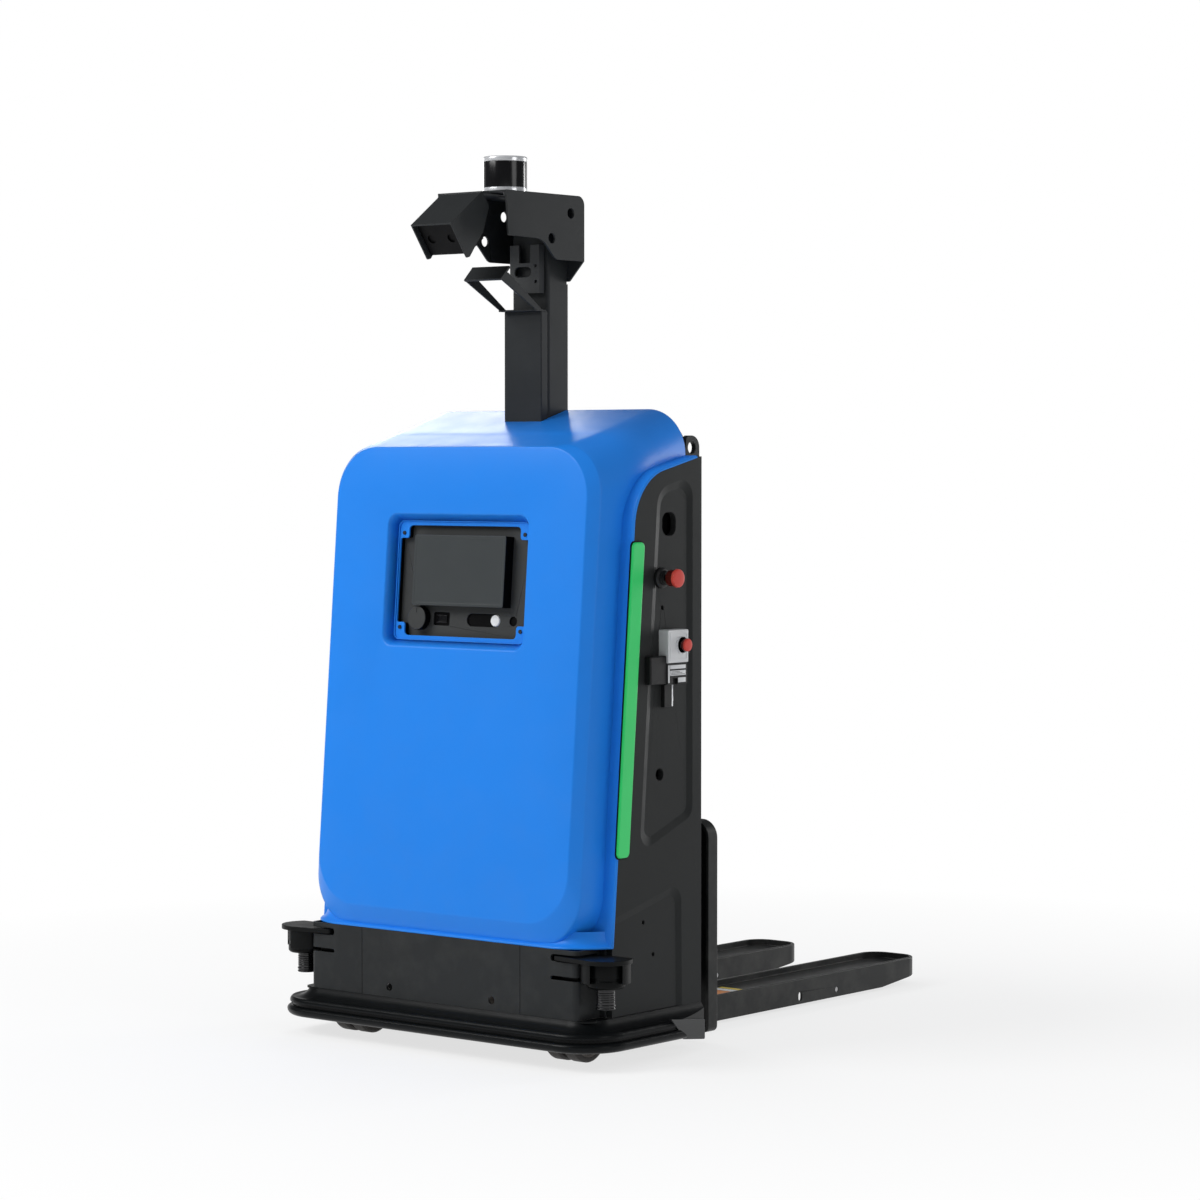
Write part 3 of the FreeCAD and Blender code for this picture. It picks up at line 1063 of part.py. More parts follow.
# ---------------------------------------------------------------- lift and forks
def fork_carriage():
    """Backrest pan with ribs, guide shoes and the lift crossbar."""
    s = BACK_SHEET
    corners = [(-BACK_HALF, BACK_LOW_Z, 14), (BACK_HALF, BACK_LOW_Z, 14), (BACK_HALF, BACK_TOP_Z, BACK_CORNER),
               (-BACK_HALF, BACK_TOP_Z, BACK_CORNER)]
    pan = prism(corners, on_y(BACK_FRONT_Y), (0, BACK_REAR_Y - BACK_FRONT_Y, 0))
    rear_edges = [e for e in pan.Edges if abs(e.CenterOfMass.y - BACK_REAR_Y) < 1e-3]
    pan = pan.makeChamfer(4.0, rear_edges)
    inner = [(-BACK_HALF + s, BACK_LOW_Z + s, 8), (BACK_HALF - s, BACK_LOW_Z + s, 8),
             (BACK_HALF - s, BACK_TOP_Z - s, BACK_CORNER - s), (-BACK_HALF + s, BACK_TOP_Z - s, BACK_CORNER - s)]
    pan = pan.cut(prism(inner, on_y(BACK_FRONT_Y - 1), (0, BACK_REAR_Y - s - BACK_FRONT_Y + 1, 0)))
    rear = BACK_REAR_Y - s
    shoe_front = PANEL_REAR_Y + RAIL_WALL + SLIDE
    shoe_rear = PANEL_REAR_Y + RAIL_DEPTH - RAIL_WALL - SLIDE
    bar_z = BARREL_TOP_Z + 70
    for side in (-1, 1):
        rib = box((RAIL_X - 26, RAIL_X - 14), (shoe_front, rear), (120, 480))
        pieces = [rib]
        for z in (150, 390):
            pieces.append(box((RAIL_X - 14, RAIL_X + RAIL_WIDTH - RAIL_WALL - SLIDE), (shoe_front, shoe_rear),
                              (z, z + 60)))
        for piece in pieces:
            pan = pan.fuse(piece if side > 0 else mirrored(piece))
    bar = box((-RAIL_X + 26, RAIL_X - 26), (shoe_front, rear), (bar_z, bar_z + 18))
    return pan.fuse(bar).removeSplitter()


def fork(side):
    """Channel-section fork with a raised rim round a recessed deck and a tapered tip."""
    length = FORK_TIP_Y - BACK_REAR_Y
    plan = [(-FORK_HALF, 0), (FORK_HALF, 0), (FORK_HALF, length, FORK_CORNER), (-FORK_HALF, length, FORK_CORNER)]
    body = prism(plan, on_z(FORK_LOW_Z), (0, 0, FORK_TOP_Z - FORK_LOW_Z))
    top = [e for e in body.Edges if abs(e.CenterOfMass.z - FORK_TOP_Z) < 1e-3 and e.CenterOfMass.y > 5]
    body = body.makeFillet(3.0, top)
    w = FORK_WALL + 3
    tray = [(-FORK_HALF + w, 12, 8), (FORK_HALF - w, 12, 8), (FORK_HALF - w, length - w, FORK_CORNER - w),
            (-FORK_HALF + w, length - w, FORK_CORNER - w)]
    body = body.cut(prism(tray, on_z(FORK_TOP_Z - FORK_RECESS), (0, 0, FORK_RECESS + 1)))
    w = FORK_WALL
    ceiling = FORK_TOP_Z - FORK_RECESS - FORK_DECK
    under = [(-FORK_HALF + w, 10), (FORK_HALF - w, 10), (FORK_HALF - w, length - w, FORK_CORNER - w),
             (-FORK_HALF + w, length - w, FORK_CORNER - w)]
    body = body.cut(prism(under, on_z(0), (0, 0, ceiling)))
    # the underside rises to the tip
    taper = prism([(length - 175, -5), (length - 175, FORK_LOW_Z), (length - 70, FORK_LOW_Z + 11, 60),
                   (length - 8, FORK_LOW_Z + 18, 8), (length + 5, FORK_LOW_Z + 36), (length + 5, -5)],
                  on_x(-FORK_HALF - 5), (2 * FORK_HALF + 10, 0, 0))
    body = body.cut(taper)
    # groove under the rim and the hole for the tool that frees the push rod
    hole = prism([(-7, -11, 6.9), (7, -11, 6.9), (7, 11, 6.9), (-7, 11, 6.9)], on_x(-FORK_HALF - 5),
                 (2 * FORK_HALF + 10, 0, 0))
    body = body.cut(moved(hole, y=1044.0 - BACK_REAR_Y, z=26.0))
    pin = rod(6 + RUN, (-FORK_HALF - 5, ARM_PIVOT_Y - BACK_REAR_Y, ROLLER_R + 1), (1, 0, 0), 2 * FORK_HALF + 10)
    body = body.cut(pin)
    return moved(body, x=side * FORK_X, y=BACK_REAR_Y)


def load_arm(side):
    """Two cheeks on the pivot pin that carry the load roller."""
    z = ROLLER_R + 1
    gap = ROLLER_WIDTH / 2 + 1
    pin = rod(6, (-FORK_HALF + 1, 0, z), (1, 0, 0), 2 * FORK_HALF - 2)
    arm = join(pin, rod(12, (-gap, 0, z), (1, 0, 0), 2 * gap))
    for s in (-1, 1):
        cheek = prism([(-14, z - 13, 12), (ARM_LENGTH + 14, ROLLER_R - 13, 12), (ARM_LENGTH + 14, ROLLER_R + 13, 12),
                       (-14, z + 13, 12)], on_x(gap), (ARM_PLATE, 0, 0))
        arm = arm.fuse(cheek if s > 0 else mirrored(cheek))
    arm = arm.cut(rod(8 + RUN, (-100, ARM_LENGTH, ROLLER_R), (1, 0, 0), 200))
    return moved(arm.removeSplitter(), x=side * FORK_X, y=ARM_PIVOT_Y)


def load_roller(side):
    half = ROLLER_WIDTH / 2
    roller = rod(ROLLER_R, (-half, 0, 0), (1, 0, 0), 2 * half)
    roller = roller.makeChamfer(2.5, [e for e in roller.Edges if e.Length > 100])
    axle = rod(8, (-half - ARM_PLATE - 1, 0, 0), (1, 0, 0), 2 * (half + ARM_PLATE + 1))
    return moved(join(roller, axle), x=side * FORK_X, y=ARM_PIVOT_Y + ARM_LENGTH, z=ROLLER_R)


ROD_Y = PANEL_REAR_Y + 24


def lift_barrel():
    barrel = rod(BARREL_R, (0, ROD_Y, BARREL_LOW_Z), (0, 0, 1), BARREL_TOP_Z - BARREL_LOW_Z)
    bracket = box((-34, 34), (PANEL_REAR_Y, ROD_Y), (BARREL_LOW_Z + 12, BARREL_LOW_Z + 44))
    barrel = join(barrel, bracket)
    return barrel.cut(rod(ROD_R + RUN, (0, ROD_Y, BARREL_LOW_Z + 40), (0, 0, 1), FAR))


def lift_rod():
    low = BARREL_LOW_Z + 60
    return rod(ROD_R, (0, ROD_Y, low), (0, 0, 1), BARREL_TOP_Z + 70 - low)


# ---------------------------------------------------------------- inside the body
def battery():
    top = DECK_TOP_Z + BATTERY_HEIGHT
    pack = box((BAY_GAP - PANEL_INNER, -BAY_INNER), (BAY_FRONT_Y + 4, BAY_REAR_Y), (DECK_TOP_Z, top))
    return pack.makeFillet(8.0, [e for e in pack.Edges if e.CenterOfMass.z > top - 10])


def controller():
    top = DECK_TOP_Z + CONTROLLER_HEIGHT
    case = box((BAY_INNER, PANEL_INNER - BAY_GAP), (BAY_FRONT_Y + 4, BAY_REAR_Y), (DECK_TOP_Z, top))
    y = BAY_FRONT_Y + 20
    while y + 28 < BAY_REAR_Y:
        case = case.cut(box((0, FAR), (y, y + 14), (top - 15, FAR)))
        y += 30
    return case


def pump_unit():
    tank = box((-140, 40), (BULKHEAD_FACE_Y - 110, BULKHEAD_FACE_Y), (560, 700))
    motor = rod(48, (40, BULKHEAD_FACE_Y - 55, 630), (1, 0, 0), 110)
    return join(tank, motor)


def cover_screws():
    """Button-head screws of the screen pocket, all alike."""
    screws = []
    for x, z in ear_centres():
        head = rod(4.6, (x, POCKET_DEPTH - 2.4, z), (0, 1, 0), 2.4)
        shank = rod(2.5, (x, POCKET_DEPTH - 2.4, z), (0, 1, 0), POCKET_FLOOR + 2.4)
        screws.append(lean(join(head, shank)))
    return Part.makeCompound(screws)


# ---------------------------------------------------------------- export
def save(name, shape):
    placed = shape.copy()
    placed.translate(V(0, -CENTRE_Y, 0))
    placed.exportStep("parts/" + name + ".step")


os.makedirs("parts", exist_ok=True)
SINGLE = (front_cover, front_skirt, bumper_rim, base_frame, rear_bulkhead, hmi_panel, hmi_display, hmi_knob,
          hmi_button, estop_collar, estop_button, control_box, box_button, control_block, mast_post, cable_duct,
          head_bracket, camera_hood, camera_module, sensor_plate, sensor_hoop, drive_mount, steering_plate, steer_yoke,
          drive_motor, drive_hub, drive_tyre, fork_carriage, lift_barrel, lift_rod, battery, controller,
          pump_unit, lifting_lugs, scanner_optics, rim_ends, cover_screws)
PAIRED = (side_panel, light_strip, scanner_bracket, scanner_housing, caster_fork,
          caster_hub, caster_tyre, fork, load_arm, load_roller)
for maker in SINGLE:
    save(maker.__name__, maker())
for maker in PAIRED:
    save(maker.__name__ + "_left", maker(-1))
    save(maker.__name__ + "_right", maker(1))
for piece in ("base", "window", "cap"):
    save("lidar_" + piece, lidar(piece))
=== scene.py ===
"""Dresses the pallet-handling mobile robot: painted cover, scanners, sensor mast, wheels and forks."""

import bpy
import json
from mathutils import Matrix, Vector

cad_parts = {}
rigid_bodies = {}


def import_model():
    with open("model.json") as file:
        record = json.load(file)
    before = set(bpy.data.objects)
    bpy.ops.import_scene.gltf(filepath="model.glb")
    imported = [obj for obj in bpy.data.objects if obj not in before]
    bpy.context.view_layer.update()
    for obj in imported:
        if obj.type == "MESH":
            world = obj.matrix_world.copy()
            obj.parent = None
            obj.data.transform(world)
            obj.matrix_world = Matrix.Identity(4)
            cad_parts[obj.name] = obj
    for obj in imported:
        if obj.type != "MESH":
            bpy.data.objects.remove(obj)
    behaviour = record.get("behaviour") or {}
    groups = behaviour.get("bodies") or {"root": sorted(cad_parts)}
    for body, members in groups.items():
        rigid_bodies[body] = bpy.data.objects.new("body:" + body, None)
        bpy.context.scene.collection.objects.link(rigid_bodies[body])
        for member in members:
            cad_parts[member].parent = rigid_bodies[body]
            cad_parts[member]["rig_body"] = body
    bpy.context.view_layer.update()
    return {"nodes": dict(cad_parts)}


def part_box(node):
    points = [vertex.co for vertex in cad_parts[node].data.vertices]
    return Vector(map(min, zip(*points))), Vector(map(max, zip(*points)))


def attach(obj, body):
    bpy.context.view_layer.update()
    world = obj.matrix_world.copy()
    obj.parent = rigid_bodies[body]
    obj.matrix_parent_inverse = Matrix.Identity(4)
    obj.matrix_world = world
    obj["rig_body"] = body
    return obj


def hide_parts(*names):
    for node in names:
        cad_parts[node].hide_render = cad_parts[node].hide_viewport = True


bl_info = {
    "name": "Pallet robot dressing",
    "version": (1, 0, 0),
    "blender": (4, 5, 0),
    "location": "View3D > Sidebar > Pallet robot",
    "description": "Builds the visible pieces and finishes of a pallet-handling mobile robot",
    "category": "Object",
}

import json
import math

import bmesh
import bpy
import numpy as np
from mathutils import Vector
from mathutils.geometry import tessellate_polygon

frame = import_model()
NODES = frame["nodes"]

# sizes are in millimetres, with y = 0 on the plane of the front skirt
MM = 0.001
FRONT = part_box("front_skirt")[0].y
RAKE = math.radians(4.6)                    # the cover's face leans back
SLOPE = math.tan(RAKE)
PIVOT_Z = 376.0                             # height the face leans about
COVER_LOW = 264.5                           # underside of the cover's skin
COVER_REAR = 390.0
COVER_WALL = 3.5
PANEL_X = 445.0                             # outer faces of the side panels
KEY_ROW = 617.5                             # height of the key row, in the face's own frame
STRIP_LOW, STRIP_HIGH, STRIP_WIDTH = 466.0, 1172.0, 42.0
STOP = (PANEL_X, 252.0, 1090.0)             # emergency stop
BOX_STOP = (469.0, 299.0, 937.5)            # stop button of the control box
MAST_SCANNER = (0.0, 234.0, 1974.0)
CORNER_X, CORNER_Y = 460.0, 40.0            # axes of the corner scanners
CASTER_X, CASTER_Y, CASTER_Z, TWIN = 328.0, 92.0, 62.5, 26.0
DRIVE = (0.0, 205.0, 115.0)
FORK_X = 189.0
ROLLER_Y, ROLLER_Z = 1380.0, 24.5
SIDES = ((1, "right"), (-1, "left"))

BACKDROP_TURN = math.radians(39.2)          # the backdrop stands behind the robot
WHITE = (1, 1, 1, 1)
SKY = (0.95, 0.97, 1.0, 1)
DUST = (0.30, 0.29, 0.27, 1)
STAIN = (0.12, 0.1, 0.09, 1)
BUMP_DEPTH = 0.0002

# homes of the loose pieces: body, slot and finish
BLUE = ("chassis", "blue_cover", "cover")
DEEP = ("chassis", "black_plastic", "deep")
GREY = ("chassis", "box_grey", "box")


# ---------------- meshes
def place(points):
    """Millimetres with y = 0 on the skirt to metres in the row frame."""
    return np.asarray(points, float) * MM + np.array([0.0, FRONT, 0.0])


def lean(points):
    """Turns points of the face's own frame (x, depth, height) back by the rake of the face."""
    p = np.asarray(points, float)
    c, s = math.cos(RAKE), math.sin(RAKE)
    return np.stack([p[..., 0], p[..., 1] * c + p[..., 2] * s, PIVOT_Z - p[..., 1] * s + p[..., 2] * c], -1)


def mesh_object(name, points, faces, angle=35.0):
    """Smooth piece from points and faces, sharp along the edges that turn by more than the angle."""
    mesh = bpy.data.meshes.new(name)
    mesh.from_pydata(np.asarray(points, float).reshape(-1, 3).tolist(), [], faces)
    mesh.validate()
    return smooth_object(name, mesh, angle)


def smooth_object(name, mesh, angle):
    mesh.shade_smooth()
    mesh.set_sharp_from_angle(angle=math.radians(angle))
    piece = bpy.data.objects.new(name, mesh)
    bpy.context.scene.collection.objects.link(piece)
    return piece


def grid_faces(rows, columns, wrap_rows=False, wrap_columns=True, flip=False, start=0, caps=False):
    """Quads between neighbouring points of a grid; a wrapped side joins its last line to its first, and
    caps close the first and the last row."""
    r = np.arange(rows if wrap_rows else rows - 1)
    c = np.arange(columns if wrap_columns else columns - 1)
    r, c = np.meshgrid(r, c, indexing="ij")
    r2, c2 = (r + 1) % rows, (c + 1) % columns
    quads = np.stack([r * columns + c, r * columns + c2, r2 * columns + c2, r2 * columns + c], -1)
    quads = quads.reshape(-1, 4) + start
    faces = (quads[:, ::-1] if flip else quads).tolist()
    if caps:
        last = start + (rows - 1) * columns
        faces += [list(range(start, start + columns))[::-1], list(range(last, last + columns))]
    return faces


def lathe(profile, centre, axis, count, closed, start):
    """Turns a profile of (radius, distance along the axis) round the axis: the ring of every profile
    point is centre + distance * axis + radius * (cos t * a + sin t * b), with a and b square to it."""
    axis = np.asarray(axis, float) / np.linalg.norm(axis)
    a = np.cross(axis, [0.0, 0.0, 1.0] if abs(axis[2]) < 0.9 else [1.0, 0.0, 0.0])
    a /= np.linalg.norm(a)
    b = np.cross(axis, a)
    t = np.linspace(0, 2 * math.pi, count, endpoint=False)
    turn = np.cos(t)[:, None] * a + np.sin(t)[:, None] * b
    points = (np.asarray(centre, float) + profile[:, 1, None, None] * axis
              + profile[:, 0, None, None] * turn)
    faces = grid_faces(len(profile), count, wrap_rows=closed, start=start, caps=not closed)
    return points.reshape(-1, 3), faces


def soften(corners, sizes, steps=4):
    """Rounds the corners of an open run of points of any dimension: each corner becomes a quadratic
    curve that starts and ends the given distance away from it."""
    corners = np.asarray(corners, float)
    out = [corners[:1]]
    for i in range(1, len(corners) - 1):
        back, ahead = corners[i - 1] - corners[i], corners[i + 1] - corners[i]
        lb, la = np.linalg.norm(back), np.linalg.norm(ahead)
        reach = min(sizes[i], lb * 0.45, la * 0.45)
        t = np.linspace(0, 1, steps + 1)[:, None]
        p, q = corners[i] + back * reach / lb, corners[i] + ahead * reach / la
        out.append((1 - t) ** 2 * p + 2 * t * (1 - t) * corners[i] + t ** 2 * q)
    out.append(corners[-1:])
    return np.concatenate(out)


def with_rounding(corners):
    """Corners (a, b) or (a, b, rounding), the ones without a rounding given 0."""
    return [tuple(c) + (0.0,) * (3 - len(c)) for c in corners]


def closed_outline(corners, steps=6):
    """Closed run of (a, b) points: every corner (a, b, radius) becomes an arc tangent to its two sides."""
    corners = with_rounding(corners)
    out = []
    for i, (a, b, radius) in enumerate(corners):
        here = np.array([a, b], float)
        if radius <= 0:
            out.append(here[None])
            continue
        before = np.array(corners[i - 1][:2]) - here
        after = np.array(corners[(i + 1) % len(corners)][:2]) - here
        before, after = before / np.linalg.norm(before), after / np.linalg.norm(after)
        half = math.acos(np.clip(before @ after, -1, 1)) / 2
        middle = (before + after) / np.linalg.norm(before + after)
        centre = here + middle * radius / math.sin(half)
        p = here + before * radius / math.tan(half) - centre
        q = here + after * radius / math.tan(half) - centre
        t = np.linspace(0, 1, steps + 1)[:, None]
        sweep = math.pi - 2 * half
        out.append(centre + (np.sin((1 - t) * sweep) * p + np.sin(t * sweep) * q) / math.sin(sweep))
    return np.concatenate(out)


def rectangle(a0, a1, b0, b1, radius, steps):
    """Outline of a rectangle with rounded corners."""
    return closed_outline([(a0, b0, radius), (a1, b0, radius), (a1, b1, radius), (a0, b1, radius)], steps)


def ring_section(half, low, high, radius, steps, run):
    """Rounded rectangle (x, z), counter-clockwise from below, with evenly divided sides so that the
    rings of different sizes match point for point."""
    centres = [(half - radius, low + radius, -90), (half - radius, high - radius, 0),
               (-half + radius, high - radius, 90), (-half + radius, low + radius, 180)]
    arcs = []
    for x, z, start in centres:
        t = np.radians(start + np.linspace(0, 90, steps + 1))
        arcs.append(np.stack([x + radius * np.cos(t), z + radius * np.sin(t)], -1))
    out = []
    for i, arc in enumerate(arcs):
        following = arcs[(i + 1) % 4][0]
        t = np.linspace(0, 1, run + 1)[1:-1, None]
        out += [arc, arc[-1] + (following - arc[-1]) * t]
    return np.concatenate(out)


def rings(knots, steps, run):
    """Rings (x, depth, height) of rounded rectangles, one for each (half width, low, high, radius,
    depth)."""
    out = []
    for half, low, high, radius, depth in knots:
        out.append(at_depth(ring_section(half, low, high, radius, steps, run), depth))
    return np.array(out)


def at_depth(flat, depth):
    """Points (x, height) at a depth."""
    return np.stack([flat[:, 0], np.full(len(flat), depth), flat[:, 1]], -1)


def in_face(flat, depth):
    """Points (x, height) of the face's own frame at a depth, in metres of the row frame."""
    return place(lean(at_depth(flat, depth)))


def on_side(flat, x):
    """Points (y, height) at one x, in metres of the row frame."""
    return place(np.stack([np.full(len(flat), x), flat[:, 0], flat[:, 1]], -1))


def plate(name, outer, holes, low, high, to_space, angle=35.0):
    """Flat plate: the outline and its holes carried straight from one depth to the other, closed by
    two flat faces."""
    loops = [np.asarray(loop, float) for loop in (outer, *holes)]
    flat = np.array(tessellate_polygon([[Vector((*p, 0.0)) for p in loop] for loop in loops]))
    every = np.concatenate(loops)
    count = len(every)
    points = np.concatenate([to_space(every, low), to_space(every, high)])
    p, q = every[flat[:, 1]] - every[flat[:, 0]], every[flat[:, 2]] - every[flat[:, 0]]
    if (p[:, 0] * q[:, 1] - p[:, 1] * q[:, 0]).sum() < 0:
        flat = flat[:, ::-1]
    faces = flat[:, ::-1].tolist() + (flat + count).tolist()
    start = 0
    for loop in loops:
        i = np.arange(len(loop)) + start
        j = np.roll(i, -1)
        faces += np.stack([i, j, j + count, i + count], -1).tolist()
        start += len(loop)
    return fix_normals(mesh_object(name, points, faces, angle))


def fix_normals(piece):
    """Merges doubled points and turns every face outwards."""
    work = bmesh.new()
    work.from_mesh(piece.data)
    bmesh.ops.remove_doubles(work, verts=work.verts, dist=1e-6)
    bmesh.ops.recalc_face_normals(work, faces=work.faces)
    work.to_mesh(piece.data)
    work.free()
    return piece


def ease(piece, width, angle=30.0):
    """Eased edges, so that they catch the light."""
    bevel = piece.modifiers.new("eased edges", "BEVEL")
    bevel.width = width * MM
    bevel.segments = 2
    bevel.limit_method = "ANGLE"
    bevel.angle_limit = math.radians(angle)
    bevel.use_clamp_overlap = False
    piece.modifiers.new("face normals", "WEIGHTED_NORMAL").keep_sharp = True
    return piece


def eased_copy(node, width, slot, label, angle=32.0, merge=True):
    """Stands for a rigid piece: its own faces, merged where they lie in one plane unless merge is off, with
    every edge sharper than the angle rounded by the width."""
    mesh = NODES[node].data.copy()
    mesh.name = node + "_eased"
    work = bmesh.new()
    work.from_mesh(mesh)
    bmesh.ops.remove_doubles(work, verts=work.verts, dist=2e-6)
    if merge:
        bmesh.ops.dissolve_limit(work, angle_limit=math.radians(0.4), verts=work.verts, edges=work.edges)
    bmesh.ops.recalc_face_normals(work, faces=work.faces)
    work.to_mesh(mesh)
    work.free()
    piece = smooth_object(node + "_eased", mesh, angle)
    ease(piece, width, angle)
    return keep(piece, NODES[node]["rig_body"], slot, label, node)


def turned(name, profile, centres, axis, home, *replaced, count=None, ring=False, lying=False):
    """Turned piece, or several alike: corners (radius, distance along the axis, rounding) are joined by
    straight lines, rounded, and carried round the axis. A ring's profile closes on itself; another's two
    ends are closed by flat faces. A lying piece is turned with the face's rake."""
    count = count or bpy.context.scene.robot_wheels.turned_points
    corners = with_rounding(profile)
    if ring:
        run = closed_outline(corners, steps=4)
    else:
        run = soften([c[:2] for c in corners], [c[2] * 1.2 for c in corners], steps=3)
    points, faces = [], []
    for i, centre in enumerate(centres):
        part, quads = lathe(run, centre, axis, count, ring, i * len(run) * count)
        points.append(part)
        faces += quads
    points = np.concatenate(points)
    piece = mesh_object(name, place(lean(points) if lying else points), faces, 38.0)
    return keep(fix_normals(piece), *home, *replaced)


def both_ways(half):
    """Profile of a piece alike on both sides, from the half at negative distances."""
    return half + [(radius, -along, *rounding) for radius, along, *rounding in half[::-1]]


def solid(name, points, lying):
    """Closed piece from rings of points, its two ends closed by flat faces; a lying one is turned with
    the face's rake."""
    faces = grid_faces(*points.shape[:2], caps=True)
    return fix_normals(mesh_object(name, place(lean(points) if lying else points), faces, 40.0))


def block(name, low, high, rounding, home, *replaced, lying=False):
    """Block between two corners with rounded edges all round: in plan (x, z) a rounded rectangle, whose
    rings shrink by r (1 - sin t) while their depth moves by r (1 - cos t) at both ends."""
    (x0, y0, z0), (x1, y1, z1) = low, high
    hx, hz = (x1 - x0) / 2, (z1 - z0) / 2
    t = np.radians(np.linspace(0, 90, 5))
    inset = rounding * (1 - np.sin(np.concatenate([t, t[::-1]])))
    depth = np.concatenate([y0 + rounding * (1 - np.cos(t)), y1 - rounding * (1 - np.cos(t[::-1]))])
    knots = np.stack([hx - inset, inset - hz, hz - inset, np.maximum(rounding * 1.6 - inset, 0.4), depth], -1)
    points = rings(knots, 5, 4) + [(x0 + x1) / 2, 0.0, (z0 + z1) / 2]
    return keep(solid(name, points, lying), *home, *replaced)


def across(low, high, side):
    """The two corners of a block, mirrored to the left side when side is -1."""
    return (low, high) if side > 0 else ((-high[0], *low[1:]), (-low[0], *high[1:]))


def keep(piece, body, slot, label, *replaced):
    """Gives a piece its finish and body; it stands for the nodes it replaces. The slot is not used."""
    piece.data.materials.clear()
    piece.data.materials.append(FINISH[label])
    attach(piece, body)
    if replaced:
        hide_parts(*replaced)
    return piece


# ---------------- shader groups and finishes
def feed(tree, socket, value):
    """Links a socket to another one, or gives it a plain value."""
    if isinstance(value, bpy.types.NodeSocket):
        tree.links.new(value, socket)
    else:
        socket.default_value = value


def put(tree, kind, values, **settings):
    """New node with its settings, then its inputs."""
    node = tree.nodes.new(kind)
    for label, value in settings.items():
        setattr(node, label, value)
    for label, value in values.items():
        feed(tree, node.inputs[label], value)
    return node


def group(name, inputs):
    """Shader group with float inputs beside its vector and colour; it puts out colour, roughness and
    height."""
    tree = bpy.data.node_groups.new(name, "ShaderNodeTree")
    tree.interface.new_socket(name="Vector", in_out="INPUT", socket_type="NodeSocketVector")
    tree.interface.new_socket(name="Colour", in_out="INPUT", socket_type="NodeSocketColor")
    for label, value in inputs.items():
        socket = tree.interface.new_socket(name=label, in_out="INPUT", socket_type="NodeSocketFloat")
        socket.default_value = value
    for label, kind in (("Colour", "Color"), ("Roughness", "Float"), ("Height", "Float")):
        tree.interface.new_socket(name=label, in_out="OUTPUT", socket_type="NodeSocket" + kind)
    return tree, tree.nodes.new("NodeGroupInput").outputs, tree.nodes.new("NodeGroupOutput").inputs


def noise(tree, vector, scale, detail, rough):
    values = {"Vector": vector, "Scale": scale, "Detail": detail, "Roughness": rough}
    return put(tree, "ShaderNodeTexNoise", values).outputs["Fac"]


def spread(tree, value, low, high, to_low=0.0, to_high=1.0):
    """The value carried from one range to another and held inside it."""
    values = {"Value": value, "From Min": low, "From Max": high, "To Min": to_low, "To Max": to_high}
    return put(tree, "ShaderNodeMapRange", values).outputs["Result"]


def sums(tree, kind, first, second):
    return put(tree, "ShaderNodeMath", {0: first, 1: second}, operation=kind).outputs[0]


def blend_colours(tree, mask, first, second):
    node = put(tree, "ShaderNodeMix", {0: mask}, data_type="RGBA")
    for socket, value in zip([s for s in node.inputs if s.type == "RGBA"], (first, second)):
        feed(tree, socket, value)
    return [s for s in node.outputs if s.type == "RGBA"][0]


def make_paint_group():
    """Sprayed coat: fine orange peel or powder grain, slow tone drift and a little dust low down."""
    tree, entry, out = group("sprayed coat", {"Grain Scale": 900.0, "Roughness": 0.4, "Roughness Drift": 0.06,
                                              "Tone Drift": 0.05, "Dust": 0.1})
    vector = entry["Vector"]
    grain = noise(tree, vector, entry["Grain Scale"], 2.0, 0.6)
    drift = noise(tree, vector, 2.3, 3.0, 0.55)
    smear = noise(tree, vector, 14.0, 4.0, 0.6)
    tone = sums(tree, "MULTIPLY", spread(tree, drift, 0.3, 0.7, -1.0, 1.0), entry["Tone Drift"])
    value = sums(tree, "ADD", tone, 1.0)
    toned = put(tree, "ShaderNodeHueSaturation", {"Value": value, "Color": entry["Colour"]})
    height = put(tree, "ShaderNodeSeparateXYZ", {0: vector}).outputs["Z"]
    dust = sums(tree, "MULTIPLY", spread(tree, smear, 0.42, 0.75), spread(tree, height, 0.9, 0.0, 0.15, 1.0))
    dust = sums(tree, "MULTIPLY", dust, entry["Dust"])
    feed(tree, out["Colour"], blend_colours(tree, dust, toned.outputs[0], DUST))
    rough = sums(tree, "MULTIPLY", spread(tree, smear, 0.3, 0.7, -1.0, 1.0), entry["Roughness Drift"])
    rough = sums(tree, "ADD", rough, entry["Roughness"])
    feed(tree, out["Roughness"], sums(tree, "ADD", rough, sums(tree, "MULTIPLY", dust, 0.3)))
    feed(tree, out["Height"], grain)
    return tree


def make_brushed_group():
    """Turned or brushed metal: noise stretched into lines, with faint stains."""
    tree, entry, out = group("brushed lines", {"Roughness": 0.3, "Stain": 0.2})
    stretch = put(tree, "ShaderNodeMapping", {"Vector": entry["Vector"], "Scale": (30.0, 900.0, 900.0)})
    lines = noise(tree, stretch.outputs["Vector"], 1.0, 2.0, 0.5)
    stain = noise(tree, entry["Vector"], 22.0, 3.0, 0.6)
    mask = sums(tree, "MULTIPLY", spread(tree, stain, 0.45, 0.75), entry["Stain"])
    feed(tree, out["Colour"], blend_colours(tree, mask, entry["Colour"], STAIN))
    rough = sums(tree, "ADD", entry["Roughness"], spread(tree, lines, 0.3, 0.7, -0.06, 0.08))
    feed(tree, out["Roughness"], sums(tree, "ADD", rough, sums(tree, "MULTIPLY", mask, 0.4)))
    feed(tree, out["Height"], lines)
    return tree


